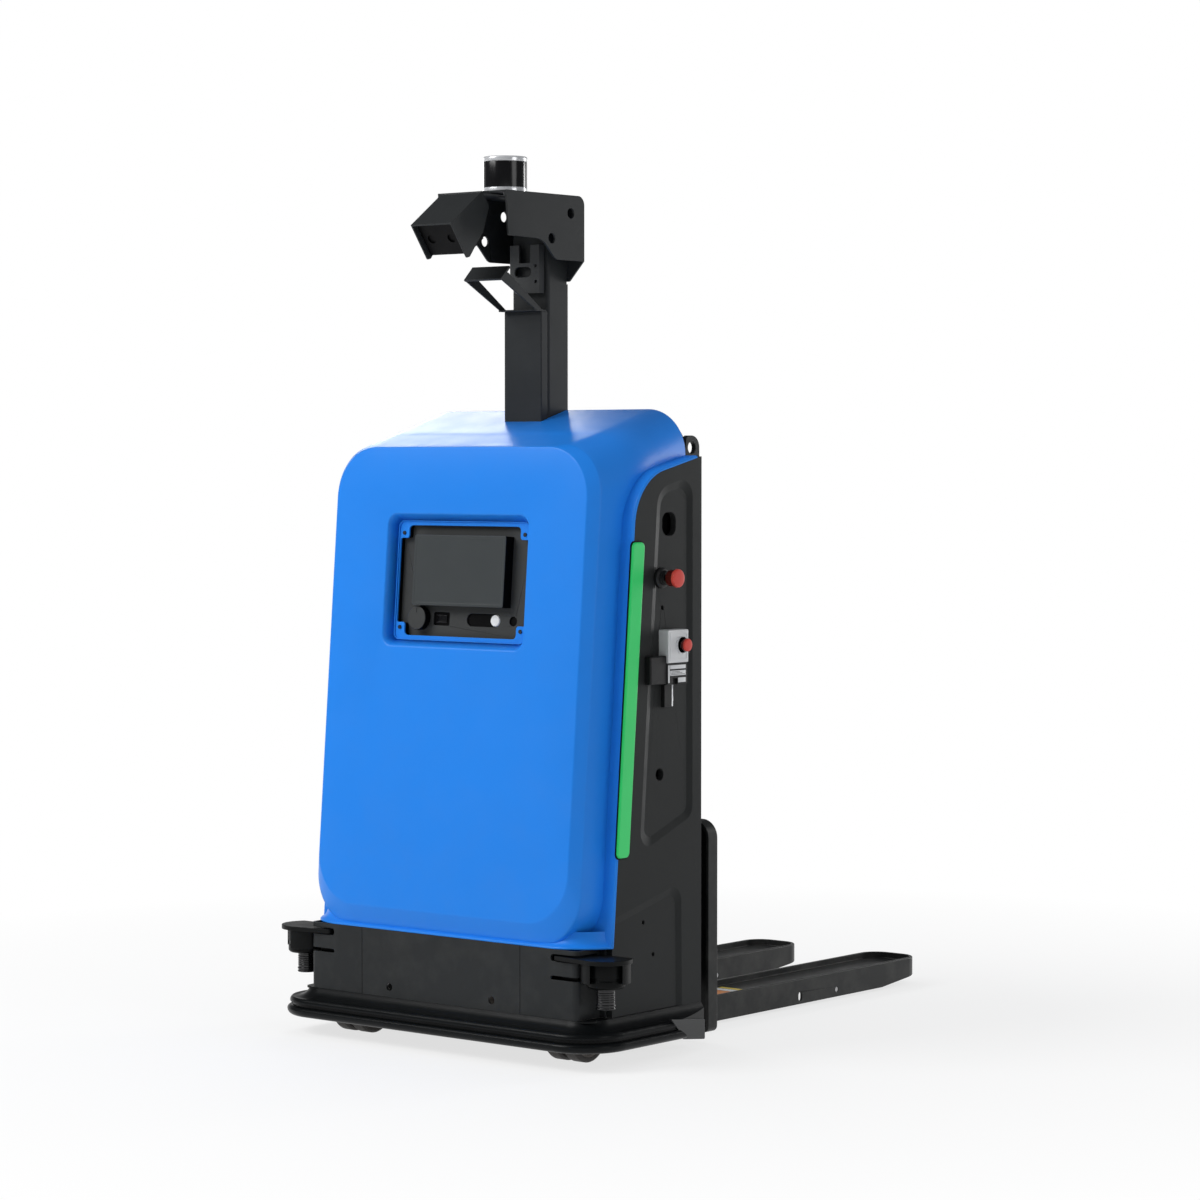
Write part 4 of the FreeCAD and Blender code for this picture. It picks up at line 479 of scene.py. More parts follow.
def finish(effects, name, colour, rough, metallic=0.0, grain=900.0, bump=0.15, drift=0.06, tone=0.05,
           dust=0.1, stain=None, specular=0.5, glow=0.0):
    """Material of one finish: a shader group gives colour, roughness and height, and the shader's own
    sockets take what is the same all over. A stain makes it brushed metal, otherwise it is a coat."""
    material = bpy.data.materials.new(name)
    material.use_nodes = True
    tree = material.node_tree
    coords = tree.nodes.new("ShaderNodeTexCoord")
    values = {"Vector": coords.outputs["Object"], "Colour": (*colour, 1), "Roughness": rough}
    if stain is None:
        values.update({"Grain Scale": grain, "Roughness Drift": drift, "Tone Drift": tone, "Dust": dust})
    else:
        values["Stain"] = stain
    effect = put(tree, "ShaderNodeGroup", values, node_tree=effects["coat" if stain is None else "brushed"])
    relief = put(tree, "ShaderNodeBump", {"Strength": bump, "Distance": BUMP_DEPTH,
                                          "Height": effect.outputs["Height"]})
    shader = tree.nodes["Principled BSDF"]
    inputs = {"Base Color": effect.outputs["Colour"], "Roughness": effect.outputs["Roughness"],
              "Normal": relief.outputs["Normal"], "Metallic": metallic, "Specular IOR Level": specular}
    if glow:
        inputs.update({"Emission Color": effect.outputs["Colour"], "Emission Strength": glow})
    for label, value in inputs.items():
        feed(tree, shader.inputs[label], value)
    return material


# finish: name, colour or the property that holds it, roughness and what differs from the plain coat
COATS = {
    "cover": ("cover paint", "cover", 0.36,
              dict(grain=1400, bump=0.08, drift=0.03, tone=0.02, dust=0.03, specular=0.22)),
    "black": ("black powder coat", "black", 0.44,
              dict(grain=1100, bump=0.25, tone=0.12, dust=0.06, specular=0.18)),
    "panel_coat": ("panel powder coat", (0.021, 0.0225, 0.0228), 0.46,
                   dict(grain=1100, bump=0.2, tone=0.08, dust=0.01, specular=0.10)),
    "pale_coat": ("plate powder coat", (0.05, 0.052, 0.053), 0.45,
                  dict(grain=1100, bump=0.25, tone=0.10, dust=0.05, specular=0.2)),
    "scanner_coat": ("scanner bracket coat", (0.006, 0.0065, 0.0065), 0.40,
                     dict(grain=1100, bump=0.2, tone=0.1, dust=0.0, specular=0.12)),
    "scanner": ("scanner housing", (0.0030, 0.0035, 0.0035), 0.36,
                dict(grain=1300, bump=0.2, dust=0.0, specular=0.10)),
    # the stop barrels' darker red is painted shade of the buttons' shaded side, below the lit red cap
    "stop_dark": ("stop barrel", (0.09, 0.010, 0.008), 0.35,
                  dict(grain=500, bump=0.03, dust=0.02, specular=0.2)),
    "deep": ("deep black", (0.003, 0.003, 0.0033), 0.45, dict(grain=1000, bump=0.1, dust=0.0, specular=0.08)),
    "motor": ("motor grey", (0.16, 0.165, 0.17), 0.5, dict(grain=700, bump=0.25, dust=0.3)),
    "screw": ("small screws", (0.05, 0.055, 0.06), 0.35, dict(metallic=0.8, stain=0.2, bump=0.1)),
    "amber": ("amber tape", (0.75, 0.25, 0.05), 0.45, dict(grain=500, bump=0.05, dust=0.15)),
    "yellow": ("yellow tape", (0.8, 0.6, 0.05), 0.45, dict(grain=500, bump=0.05, dust=0.15)),
    "dark": ("dark inner steel", (0.012, 0.012, 0.013), 0.5, dict(bump=0.2, dust=0.2, specular=0.25)),
    "rubber": ("bumper rubber", (0.0042, 0.005, 0.0055), 0.34,
               dict(grain=700, bump=0.12, dust=0.0, specular=0.12)),
    "strip": ("lit strip", "strip", 0.35, dict(grain=300, bump=0.02, dust=0.0, tone=0.02, glow=0.32)),
    "stop": ("stop red", "stop", 0.32, dict(grain=500, bump=0.03, dust=0.02, specular=0.25)),
    "box": ("control box grey", "box", 0.42, dict(grain=800, bump=0.1)),
    "plastic": ("black moulding", (0.012, 0.012, 0.013), 0.4,
                dict(grain=1300, bump=0.25, dust=0.04, specular=0.2)),
    "gloss": ("glossy window", (0.004, 0.004, 0.005), 0.17, dict(grain=60, bump=0.01, drift=0.02, dust=0.01)),
    "screen": ("display face", (0.052, 0.058, 0.060), 0.34,
               dict(grain=2000, bump=0.04, drift=0.03, dust=0.02, specular=0.2)),
    "panel": ("screen plate", (0.047, 0.049, 0.048), 0.5, dict(grain=1500, dust=0.04, specular=0.2)),
    "white": ("white key", (0.85, 0.86, 0.86), 0.3, dict(grain=500, bump=0.03, dust=0.05)),
    "chrome": ("polished ring", (0.86, 0.87, 0.89), 0.16, dict(metallic=0.45, stain=0.03, bump=0.02)),
    "steel": ("machined steel", (0.42, 0.42, 0.43), 0.32, dict(metallic=1.0, stain=0.2, bump=0.1)),
    "iron": ("cast hub", (0.16, 0.14, 0.125), 0.55,
             dict(metallic=0.35, grain=420, bump=0.5, dust=0.5, tone=0.15)),
    "tyre": ("wheel tread", (0.028, 0.024, 0.022), 0.62, dict(grain=650, bump=0.4, dust=0.55, tone=0.15)),
    "roller": ("roller tread", (0.16, 0.12, 0.08), 0.5, dict(grain=600, bump=0.3, dust=0.3)),
    "fork": ("fork paint", (0.014, 0.015, 0.015), 0.38, dict(grain=1000, bump=0.2, tone=0.12, specular=0.2)),
}
FINISH = {}


def make_finishes(colours):
    effects = {"coat": make_paint_group(), "brushed": make_brushed_group()}
    for label, (name, colour, rough, more) in COATS.items():
        if isinstance(colour, str):
            colour = tuple(getattr(colours, colour))
        FINISH[label] = finish(effects, name, colour, rough, **more)


def dress_nodes():
    """Gives every CAD node that stays its finish."""
    by_finish = {
        "dark": ["base_frame", "drive_mount", "steering_plate", "steer_yoke", "controller", "battery",
                 "lift_barrel"],
        "motor": ["drive_motor", "pump_unit"],
        "rubber": ["bumper_rim"], "box": ["control_box"], "deep": ["camera_module"], "chrome": ["lift_rod"],
        "steel": ["load_arm_left", "load_arm_right"], "screw": ["cover_screws"],
    }
    for label, names in by_finish.items():
        for name in names:
            data = NODES[name].data
            data.materials.clear()
            data.materials.append(FINISH[label])


# ---------------- sizes and colours
def colour(name, description, default):
    return bpy.props.FloatVectorProperty(name=name, description=description, subtype="COLOR", default=default)


def size(name, description, default, low, high):
    return bpy.props.FloatProperty(name=name, description=description, default=default, min=low, max=high)


def points_of(name, description, default, low, high):
    return bpy.props.IntProperty(name=name, description=description, default=default, min=low, max=high)


def share(name, default):
    return bpy.props.FloatProperty(name=name, description="Share of the key light's strength",
                                   subtype="FACTOR", default=default, min=0.0, max=2.0)


class RobotColours(bpy.types.PropertyGroup):
    """Colours of the finishes."""
    cover: colour("Cover blue", "Painted front cover", (0.016, 0.235, 0.83))
    black: colour("Body black", "Coated sheet metal", (0.022, 0.024, 0.025))
    strip: colour("Light strip", "Lit side strips", (0.014, 0.44, 0.10))
    stop: colour("Stop red", "Stop buttons", (0.60, 0.062, 0.048))
    box: colour("Control box", "Grey control box", (0.62, 0.63, 0.64))


class CoverSizes(bpy.types.PropertyGroup):
    """Sizes of the front cover, in millimetres."""
    edge_round: size("Edge round", "Softness of the cover's edges", 4.0, 1.0, 20.0)
    lip_round: size("Pocket lip", "Softness of the pocket's rim", 3.0, 1.0, 12.0)
    corner_steps: points_of("Corner steps", "Points along a corner", 20, 6, 48)


class EdgeSizes(bpy.types.PropertyGroup):
    """Eased edges of the rigid pieces, in millimetres."""
    fine: size("Thin sheet", "Edge of thin folded sheet", 0.7, 0.1, 3.0)
    plain: size("Plate", "Edge of panels, forks and plates", 1.1, 0.1, 4.0)
    wide: size("Moulding", "Edge of moulded strips", 1.0, 0.1, 3.0)


class WheelSizes(bpy.types.PropertyGroup):
    """Detail of wheels and turned pieces."""
    turned_points: points_of("Turned points", "Points round a turned piece", 96, 24, 192)


class StageSizes(bpy.types.PropertyGroup):
    """Camera and lights."""
    eye: bpy.props.FloatVectorProperty(name="Camera place", description="Where the camera stands",
                                       subtype="TRANSLATION", unit="LENGTH", default=(5.3419, -6.727, 1.3565))
    tilt: bpy.props.FloatProperty(name="Camera tilt", description="Turn about X", subtype="ANGLE",
                                  default=math.radians(87.709))
    heading: bpy.props.FloatProperty(name="Camera heading", description="Turn about Z", subtype="ANGLE",
                                     default=math.radians(39.2))
    lens: size("Lens", "Focal length on a 36 mm sensor", 105.0, 20.0, 300.0)
    key: bpy.props.FloatProperty(name="Key light", description="Strength of the large front light",
                                 subtype="POWER", default=250.0, min=0.0)
    side_share: share("Side light", 0.16)
    roof_share: share("Roof light", 0.036)
    rear_share: share("Rear light", 0.40)
    world: size("Soft light", "Strength of the light from all round", 0.40, 0.0, 2.0)


# ---------------- stage
def area_light(name, stand, aim, width, height, power):
    light = bpy.data.lights.new(name, "AREA")
    light.shape = "RECTANGLE"
    light.size, light.size_y, light.energy = width, height, power
    lamp = bpy.data.objects.new(name, light)
    bpy.context.scene.collection.objects.link(lamp)
    lamp.location = stand
    lamp.visible_camera = False
    lamp.rotation_euler = (Vector(aim) - Vector(stand)).to_track_quat("-Z", "Y").to_euler()


def mirror_rays(tree):
    """1 for the rays off gloss and through glass."""
    path = tree.nodes.new("ShaderNodeLightPath")
    return sums(tree, "MAXIMUM", path.outputs["Is Glossy Ray"], path.outputs["Is Transmission Ray"])


def camera_rays(tree):
    """1 for the rays from the camera."""
    return tree.nodes.new("ShaderNodeLightPath").outputs["Is Camera Ray"]


def backdrop_share(tree, direction):
    """How far a direction meets the white backdrop that stands behind the robot: 1 round its middle and
    near the horizon, falling evenly to 0 at its sides and its top."""
    middle = (-math.sin(BACKDROP_TURN), math.cos(BACKDROP_TURN), 0.0)
    flat = put(tree, "ShaderNodeVectorMath", {0: direction, 1: middle}, operation="DOT_PRODUCT")
    height = put(tree, "ShaderNodeSeparateXYZ", {0: direction}).outputs["Z"]
    inside = spread(tree, flat.outputs["Value"], 0.55, 0.80)
    return sums(tree, "MULTIPLY", inside, spread(tree, height, 0.26, 0.10))


def mix_shaders(tree, mask, first, second):
    return put(tree, "ShaderNodeMixShader", {0: mask, 1: first, 2: second}).outputs[0]


class ROBOT_OT_stage(bpy.types.Operator):
    """Floor, backdrop light, lamps and camera"""
    bl_idname = "robot.stage"
    bl_label = "Stage"

    def execute(self, context):
        s = context.scene.robot_stage
        scene = context.scene
        scene.view_settings.view_transform = "Standard"
        self.surroundings(scene, s.world)
        self.floor()
        for name, stand, aim, width, height, part in (
                ("key", (-2.6, -4.8, 4.6), (0, -0.6, 0.9), 3.6, 3.0, 1.0),
                ("side", (5.4, -0.6, 2.6), (0.3, -0.4, 1.0), 2.2, 3.0, s.side_share),
                ("roof", (-1.45, 0.70, 1.98), (-0.32, -0.45, 1.44), 0.9, 0.6, s.roof_share),
                ("rear", (1.9, 5.4, 1.6), (0.4, -0.3, 1.0), 1.3, 3.0, s.rear_share)):
            area_light(name, stand, aim, width, height, s.key * part)
        camera = bpy.data.cameras.new("camera")
        camera.lens, camera.sensor_width = s.lens, 36.0
        camera.clip_end = 100.0
        eye = bpy.data.objects.new("camera", camera)
        scene.collection.objects.link(eye)
        eye.location = s.eye
        eye.rotation_euler = (s.tilt, 0.0, s.heading)
        scene.camera = eye
        return {"FINISHED"}

    def surroundings(self, scene, strength):
        """White to the eye, soft light from all round; a mirror meets the backdrop or a dim room."""
        world = bpy.data.worlds.new("studio")
        scene.world = world
        world.use_nodes = True
        tree = world.node_tree
        tree.nodes.clear()
        white, soft, dim = [
            put(tree, "ShaderNodeBackground", {"Color": tint, "Strength": power}).outputs[0]
            for tint, power in ((WHITE, 1.0), (SKY, strength), (SKY, strength * 0.3))]
        coords = tree.nodes.new("ShaderNodeTexCoord")
        backdrop = backdrop_share(tree, coords.outputs["Generated"])
        mirrored = sums(tree, "MULTIPLY", mirror_rays(tree), backdrop)
        shown = sums(tree, "MAXIMUM", camera_rays(tree), mirrored)
        room = mix_shaders(tree, mirror_rays(tree), soft, dim)
        put(tree, "ShaderNodeOutputWorld", {0: mix_shaders(tree, shown, room, white)})

    def floor(self):
        """Floor, white to the eye: away from the robot it turns into the backdrop, near it keeps the
        shadow. The share of backdrop grows evenly with the distance from the middle."""
        t = np.linspace(-14, 14, 15)
        gx, gy = np.meshgrid(t, t)
        points = np.stack([gx, gy, np.full_like(gx, -0.0012)], -1)
        floor = mesh_object("floor", points, grid_faces(15, 15, wrap_columns=False))
        stuff = bpy.data.materials.new("floor")
        stuff.use_nodes = True
        tree = stuff.node_tree
        shader = tree.nodes["Principled BSDF"]
        for label, value in (("Base Color", (0.93, 0.93, 0.93, 1)), ("Roughness", 0.85),
                             ("Specular IOR Level", 0.1)):
            shader.inputs[label].default_value = value
        coords = tree.nodes.new("ShaderNodeTexCoord")
        far = put(tree, "ShaderNodeVectorMath", {0: coords.outputs["Object"]}, operation="LENGTH")
        part = spread(tree, far.outputs["Value"], 1.0, 2.6, 0.72, 1.0)
        white = put(tree, "ShaderNodeEmission", {"Color": WHITE, "Strength": 1.0})
        shown = sums(tree, "MAXIMUM", camera_rays(tree), mirror_rays(tree))
        mask = sums(tree, "MULTIPLY", shown, part)
        feed(tree, tree.nodes["Material Output"].inputs["Surface"],
             mix_shaders(tree, mask, shader.outputs[0], white.outputs[0]))
        floor.data.materials.append(stuff)


class ROBOT_OT_finishes(bpy.types.Operator):
    """Materials for every piece of the frame"""
    bl_idname = "robot.finishes"
    bl_label = "Finishes"

    def execute(self, context):
        make_finishes(context.scene.robot_colours)
        dress_nodes()
        return {"FINISHED"}


# ---------------- cover
def pocket_opening(grow=0):
    """Outline (x, height) of the opening in the pocket's floor: a rectangle less an ear in each corner,
    with rounded inner and outer corners; grow moves every side outwards."""
    half, low, high, wide, tall = 196 + grow, 576.5 - grow, 833 + grow, 25, 30
    corners = []
    for sx, sz in ((-1, -1), (1, -1), (1, 1), (-1, 1)):
        edge = low if sz < 0 else high
        ear = [(sx * half, edge - sz * tall, 4), (sx * (half - wide), edge - sz * tall, 7),
               (sx * (half - wide), edge, 10)]
        corners += ear if sx == sz else ear[::-1]
    return closed_outline(corners)


def cover_knots(sizes):
    """Run of the cover from the pocket's ledge out over the face and back along the roof and walls:
    each knot is (half width, low, high, corner radius, depth), and the run of knots is softened."""
    knots = [(199, 567.5, 842, 15, 23.2), (203, 563.5, 846, 18, 23), (218, 548.5, 861, 30, 0),
             (380, -59, 1011, 115, 0), (400, -108, 1018.5, 115, 22), (410, -108, 1046.8, 115, 105),
             (405, -108, 1180, 95, 450)]
    e, p = sizes.edge_round, sizes.lip_round
    return soften(knots, [0, 1.2, p, e, e, e * 2, 0], steps=5)


def inward_of(edge, turn):
    """Unit vectors square to an open run of points, on the side that turn gives: 1 right, -1 left."""
    along = np.gradient(edge, axis=0)
    along /= np.linalg.norm(along, axis=1)[:, None]
    return turn * np.stack([along[:, 1], -along[:, 0]], -1)


class ROBOT_OT_cover(bpy.types.Operator):
    """Painted cover: one skin from the screen pocket over the face to the rear"""
    bl_idname = "robot.cover"
    bl_label = "Cover"

    def execute(self, context):
        sizes = context.scene.robot_cover
        skin = lean(rings(cover_knots(sizes), sizes.corner_steps, 14))
        # the rear is cut square to the floor
        y = skin[-1, :, 1].copy()
        back = (COVER_REAR - skin[-2, :, 1]) / (y - skin[-2, :, 1])
        skin[-1] = skin[-2] + (skin[-1] - skin[-2]) * back[:, None]
        # the underside stays above the lip
        skin[..., 2] = np.maximum(skin[..., 2], COVER_LOW)
        cover = mesh_object("cover_skin", place(skin), grid_faces(*skin.shape[:2]), angle=50)
        wall = cover.modifiers.new("wall", "SOLIDIFY")
        wall.thickness = COVER_WALL * MM
        wall.offset = -1
        keep(cover, *BLUE, "front_cover")
        ledge = ring_section(201.5, 565, 844.5, 16.5, 8, 2)
        floor = plate("pocket_floor", ledge, [pocket_opening()], 23, 27.8, in_face, 30)
        keep(ease(floor, 0.9), *BLUE)
        self.flanges()
        self.lip()
        return {"FINISHED"}

    def flanges(self):
        """Strip in front of each side panel: its edge follows the panel's outline, x runs outwards and
        the last millimetres turn back over the panel."""
        fall = math.tan(math.radians(13))
        front, base, low, rear_z = 80, 259, 266, 1371
        outer, turn_radius, hem = 441, 4, 1.6
        corner_z = (rear_z - fall * (407 - front + SLOPE * base)) / (1 - fall * SLOPE)
        corner_y = front + SLOPE * (corner_z - base)
        start_y = front + SLOPE * (low - base)
        run = closed_outline([(start_y, low), (corner_y, corner_z, 141),
                              (COVER_REAR, rear_z - 17 * fall), (COVER_REAR, low)], steps=24)[:-1]
        # more points along the straight front edge
        first = run[0] + (run[1] - run[0]) * np.linspace(0, 1, 26)[:-1, None]
        last = run[-2] + (run[-1] - run[-2]) * np.linspace(0, 1, 10)[1:, None]
        edge = np.concatenate([first, run[1:-1], last])
        inward = inward_of(edge, 1)      # towards the panel
        # wider below, where the cover's corners round off
        inner_x = np.interp(edge[:, 1], (low, 420), (290, 402))
        rows = [np.column_stack([inner_x + (outer - inner_x) * t, edge]) for t in np.linspace(0, 1, 8)]
        for a in np.radians(np.linspace(0, 90, 6))[1:]:
            x = np.full(len(edge), outer + turn_radius * math.sin(a))
            rows.append(np.column_stack([x, edge + inward * (turn_radius * (1 - math.cos(a)))]))
        rows.append(rows[-1] + np.column_stack([np.zeros(len(edge)), inward * hem]))
        for side, name in SIDES:
            faces = grid_faces(len(rows), len(edge), wrap_columns=False, flip=side > 0)
            keep(mesh_object("cover_flange_" + name, place(np.array(rows) * [side, 1, 1]), faces, 60), *BLUE)

    def lip(self):
        """Lower lip: in plan a straight front that flares back to the panels; its section is a rounded
        edge that sweeps up and back to the cover."""
        t = np.linspace(0, 1, 25)[:, None]
        a, b, c = np.array([[330, 0]]), np.array([[402, 0]]), np.array([[PANEL_X, 84]])
        curve = (1 - t) ** 2 * a + 2 * t * (1 - t) * b + t ** 2 * c
        straight = np.stack([np.linspace(-330, 330, 31), np.zeros(31)], -1)[1:-1]
        plan = np.concatenate([(curve * [-1, 1])[::-1], straight, curve])
        inward = inward_of(plan, -1)
        section = [(26, 264), (1.5, 264), (0.4, 264.6), (0, 266), (0.2, 267.8), (1.6, 269.4), (5, 271),
                   (9, 273.6), (12.5, 277.5), (15.5, 283), (18, 291), (20, 302)]
        rows = np.array([np.column_stack([plan + inward * s, np.full(len(plan), z)]) for s, z in section])
        faces = grid_faces(*rows.shape[:2], wrap_columns=False, flip=True)
        keep(mesh_object("cover_lip", place(rows), faces, 50), *BLUE)


# ---------------- body sheets
# edge, slot, finish and the nodes that share them
SHEETS = (
    ("plain", "panel_black", "panel_coat", "rear_bulkhead"),
    ("fine", "skirt_black", "black", "front_skirt rim_ends"),
    ("fine", "panel_black", "black", "mast_post cable_duct head_bracket camera_hood"),
    ("fine", "panel_black", "pale_coat", "sensor_plate"), ("fine", "panel_black", "black", "sensor_hoop"),
    ("fine", "bracket_black", "scanner_coat", "scanner_bracket_left scanner_bracket_right"),
    ("plain", "lug_dark", "black", "lifting_lugs"), ("fine", "black_plastic", "plastic", "control_block"),
    ("plain", "fork_dark", "fork", "fork_carriage fork_left fork_right"),
    ("plain", "caster_steel", "dark", "caster_fork_left caster_fork_right"),
    ("wide", "strip_green", "strip", "light_strip_left light_strip_right"),
)


class ROBOT_OT_sheets(bpy.types.Operator):
    """Body panels, skirt, mast, head, lift and forks with eased edges"""
    bl_idname = "robot.sheets"
    bl_label = "Sheet metal"

    def execute(self, context):
        sizes = context.scene.robot_edges
        for width, slot, label, nodes in SHEETS:
            for node in nodes.split():
                eased_copy(node, getattr(sizes, width), slot, label)
        # the shallow bevels of the panels' recesses stay sharp
        for name in ("left", "right"):
            eased_copy("side_panel_" + name, sizes.fine, "panel_black", "panel_coat", angle=9, merge=False)
        self.backs()
        self.strip_trims()
        return {"FINISHED"}

    def backs(self):
        """Dark backs of the window and the round hole of each side panel, on the cover's side walls."""
        for label, (y0, y1), (z0, z1) in (("window_back_", (212, 400), (1136, 1286)),
                                          ("hole_back_", (222, 300), (606, 680))):
            for side, name in SIDES:
                block(label + name, *across((409, y0, z0), (414.2, y1, z1), side), 0.5, DEEP)

    def strip_trims(self):
        """Dark trim under each light strip: the strip's outline, leaning with the face, grown by a few
        millimetres."""
        grow = 3.2
        low = 75 + SLOPE * (STRIP_LOW - 264)
        high = low + SLOPE * (STRIP_HIGH - STRIP_LOW)
        bottom, top, width = STRIP_LOW - grow, STRIP_HIGH + grow, STRIP_WIDTH + grow
        edge = closed_outline([(low - grow, bottom, 13), (low + width, bottom, 13),
                               (high + width, top, 13), (high - grow, top, 13)], 8)
        for side, name in SIDES:
            trim = plate("strip_trim_" + name, edge, [], side * 445.1, side * 447.2, on_side)
            keep(ease(trim, 0.5), *DEEP)


# ---------------- screen
class ROBOT_OT_screen(bpy.types.Operator):
    """Key plate with its openings, a black liner that partly stands for painted shade in the opening,
    display, selector and key
    """
    bl_idname = "robot.screen"
    bl_label = "Screen"

    def execute(self, context):
        turn = np.radians(np.linspace(0, 360, 40, endpoint=False))
        circle = np.stack([np.cos(turn), np.sin(turn)], -1)

        def opening(x, wide, tall, radius):
            return rectangle(x - wide, x + wide, KEY_ROW - tall, KEY_ROW + tall, radius, 8)

        outer = rectangle(-205, 205, 561.5, 848, 12, 8)
        holes = [opening(-70, 25, 15.5, 4), opening(59, 51, 15, 14.9),
                 circle * 11.5 + [149, KEY_ROW], circle * 6.2 + [-130, KEY_ROW]]
        key_plate = plate("key_plate", outer, holes, 38, 42, in_face, 30)
        keep(ease(key_plate, 0.7), "chassis", "screen_plate", "panel", "hmi_panel")
        # black liner round the pocket's opening: partly a liner and partly painted shade of the opening's
        # walls
        keep(plate("screen_liner", outer, [pocket_opening(0.3)], 27.9, 37.9, in_face, 30), *DEEP)
        block("key_box", (-185, 42.1, KEY_ROW - 26), (185, 72, KEY_ROW + 26), 2, DEEP, lying=True)
        self.display()
        self.keys()
        return {"FINISHED"}

    def display(self):
        """Display: a block with a front plate whose rings of a rounded rectangle step down from the
        narrow frame to the glass."""
        block("display_body", (-139.3, 9.8, 647.2), (139.3, 38, 810.3), 0.4,
              ("chassis", "screen_black", "deep"), "hmi_display", lying=True)
        knots = [(128, 658.5, 799, 1.5, 9.5), (133, 653.5, 804, 2, 9.5), (133.6, 652.9, 804.6, 2.5, 9.05),
                 (138.9, 647.6, 809.9, 4, 9.05), (139.5, 647, 810.5, 4.5, 9.6),
                 (139.5, 647, 810.5, 4.5, 10.6)]
        points = rings(soften(knots, [0, 0.3, 0.3, 0.4, 0.4, 0], steps=2), 5, 6)
        keep(solid("display_front", points, True), "chassis", "screen_plate", "screen")

    def keys(self):
        """Selector, white key, socket and port behind the openings of the key plate."""
        dial = ("selector", "knob_black", "deep")
        gloss = ("chassis", "black_plastic", "gloss")
        key = ("key", "button_white", "white")
        knob = [(3, -20), (27, -20, 0.3), (27.9, -19.4, 0.3), (27.9, -2.5, 1), (26.5, -0.6, 0.5),
                (6, -0.6), (6, 19), (3, 19)]
        face = [(3, -21), (25.2, -21, 0.4), (27, -20.2, 0.5), (27.2, -19.8), (3, -19.8)]
        cap = [(3, -3), (9, -2.9, 1), (12.6, -2.2, 1.2), (14, 0.4, 1), (14, 23), (3, 23)]
        cup = [(10.8, 38.3, 0.3), (11.4, 38.3, 0.3), (11.4, 41.9), (10.8, 41.9)]
        knob_at, key_at, socket_at = (-130, 38, KEY_ROW), (95.5, 38, KEY_ROW), (149, 0, KEY_ROW)
        depth = (0, 1, 0)
        # the selector's black side is partly its own colour and partly painted shade of its side; its face is
        # grey
        turned("selector", knob, [knob_at], depth, dial, "hmi_knob", lying=True)
        turned("selector_face", face, [knob_at], depth, ("selector", "knob_black", "panel"), lying=True)
        block("selector_mark", (-130.8, 16.93, KEY_ROW + 12), (-129.2, 17.15, KEY_ROW + 23), 0.1, dial,
              lying=True)
        turned("round_key", cap, [key_at], depth, key, "hmi_button", lying=True, count=64)
        turned("socket_ring", cup, [socket_at], depth, gloss, lying=True, ring=True, count=48)
        block("port_block", (-88, 39.6, KEY_ROW - 9), (-54, 42.05, KEY_ROW + 9), 0.8, gloss, lying=True)


# ---------------- stop buttons and control box
class ROBOT_OT_stops(bpy.types.Operator):
    """Stop buttons with collar, a thin dark disc of painted shadow in the box's guard, and the box's cover
    details
    """
    bl_idname = "robot.stops"
    bl_label = "Stop buttons"

    def execute(self, context):
        along = (1, 0, 0)
        collar = [(8.4, -4.4), (12, -4.4), (12, 1.1), (24, 1.1, 0.6), (24, 8.5, 1.5), (19.5, 11.8, 1),
                  (17, 12.2, 0.3), (17, 15.5, 0.3), (15.8, 16.4, 0.3), (15.8, 20.6, 0.3), (14.8, 22, 0.6),
                  (8.4, 22)]
        turned("stop_collar", collar, [STOP], along, ("chassis", "black_plastic", "plastic"), "estop_collar",
               ring=True)
        barrel = [(3, -18), (7.9, -18), (7.9, 28.1), (16.5, 28.1, 0.8), (18.4, 30, 1.2), (18.8, 46, 0.6),
                  (20.3, 47.4, 0.4), (3, 47.4)]
        cap = [(3, 47.45), (20.2, 47.45, 0.3), (20.9, 48.6, 0.5), (20.9, 53.4, 0.8), (19.4, 55.9, 0.9),
               (3, 56)]
        self.button("stop", barrel, cap, STOP, "emergency_stop", "estop_button")
        barrel = [(3, -22.5), (7.9, -22.5), (7.9, 10.6), (13.2, 10.6, 0.6), (14.2, 12, 0.8),
                  (14.4, 16.9, 0.3), (3, 16.9)]
        cap = [(3, 16.95), (14.4, 16.95, 0.3), (14.9, 18, 0.4), (14.9, 20.4, 0.8), (13.4, 22.4, 0.8),
               (3, 22.5)]
        self.button("box", barrel, cap, BOX_STOP, "box_stop", "box_button")
        # thin dark disc round the box stop's stem inside its guard: painted shadow under the cap
        shade = [(9, 5.95), (18.4, 5.95, 0.2), (18.4, 6, 0), (9, 6)]
        turned("guard_shade", shade, [BOX_STOP], along, DEEP, ring=True)
        self.box_front()
        return {"FINISHED"}

    def button(self, name, barrel, cap, centre, body, node):
        """Barrel in a darker red, which is painted shade of the button's side, and red cap of a stop button.
        """
        turned(name + "_barrel", barrel, [centre], (1, 0, 0), (body, "stop_red", "stop_dark"), node)
        turned(name + "_cap", cap, [centre], (1, 0, 0), (body, "stop_red", "stop"))

    def box_front(self):
        """Raised frame round the guard, plain bars and lines on the terminal, and the spout's lip."""
        outer, inner = rectangle(259.5, 322.5, 902, 966, 4, 6), rectangle(263, 319, 905.5, 962.5, 3, 6)
        keep(plate("box_rim", outer, [inner], 468.9, 469.8, on_side), *GREY)
        bars = ((264, 321, 883, 892), (264, 321, 868, 879.5), (293, 321, 852, 863), (256.5, 262, 852, 892))
        for i, (y0, y1, z0, z1) in enumerate(bars):
            block("terminal_bar_%d" % (i + 1), (464.6, y0, z0), (465.9, y1, z1), 0.5, GREY)
        for i, z in enumerate((870.8, 873.8, 876.8)):
            block("terminal_line_%d" % (i + 1), (465.6, 268, z - 0.5), (466.2, 317 - 9 * i, z + 0.5), 0.2,
                  DEEP)
        block("spout_lip", (449, 288, 797), (451.8, 292.2, 847), 0.8, ("chassis", "box_grey", "chrome"))


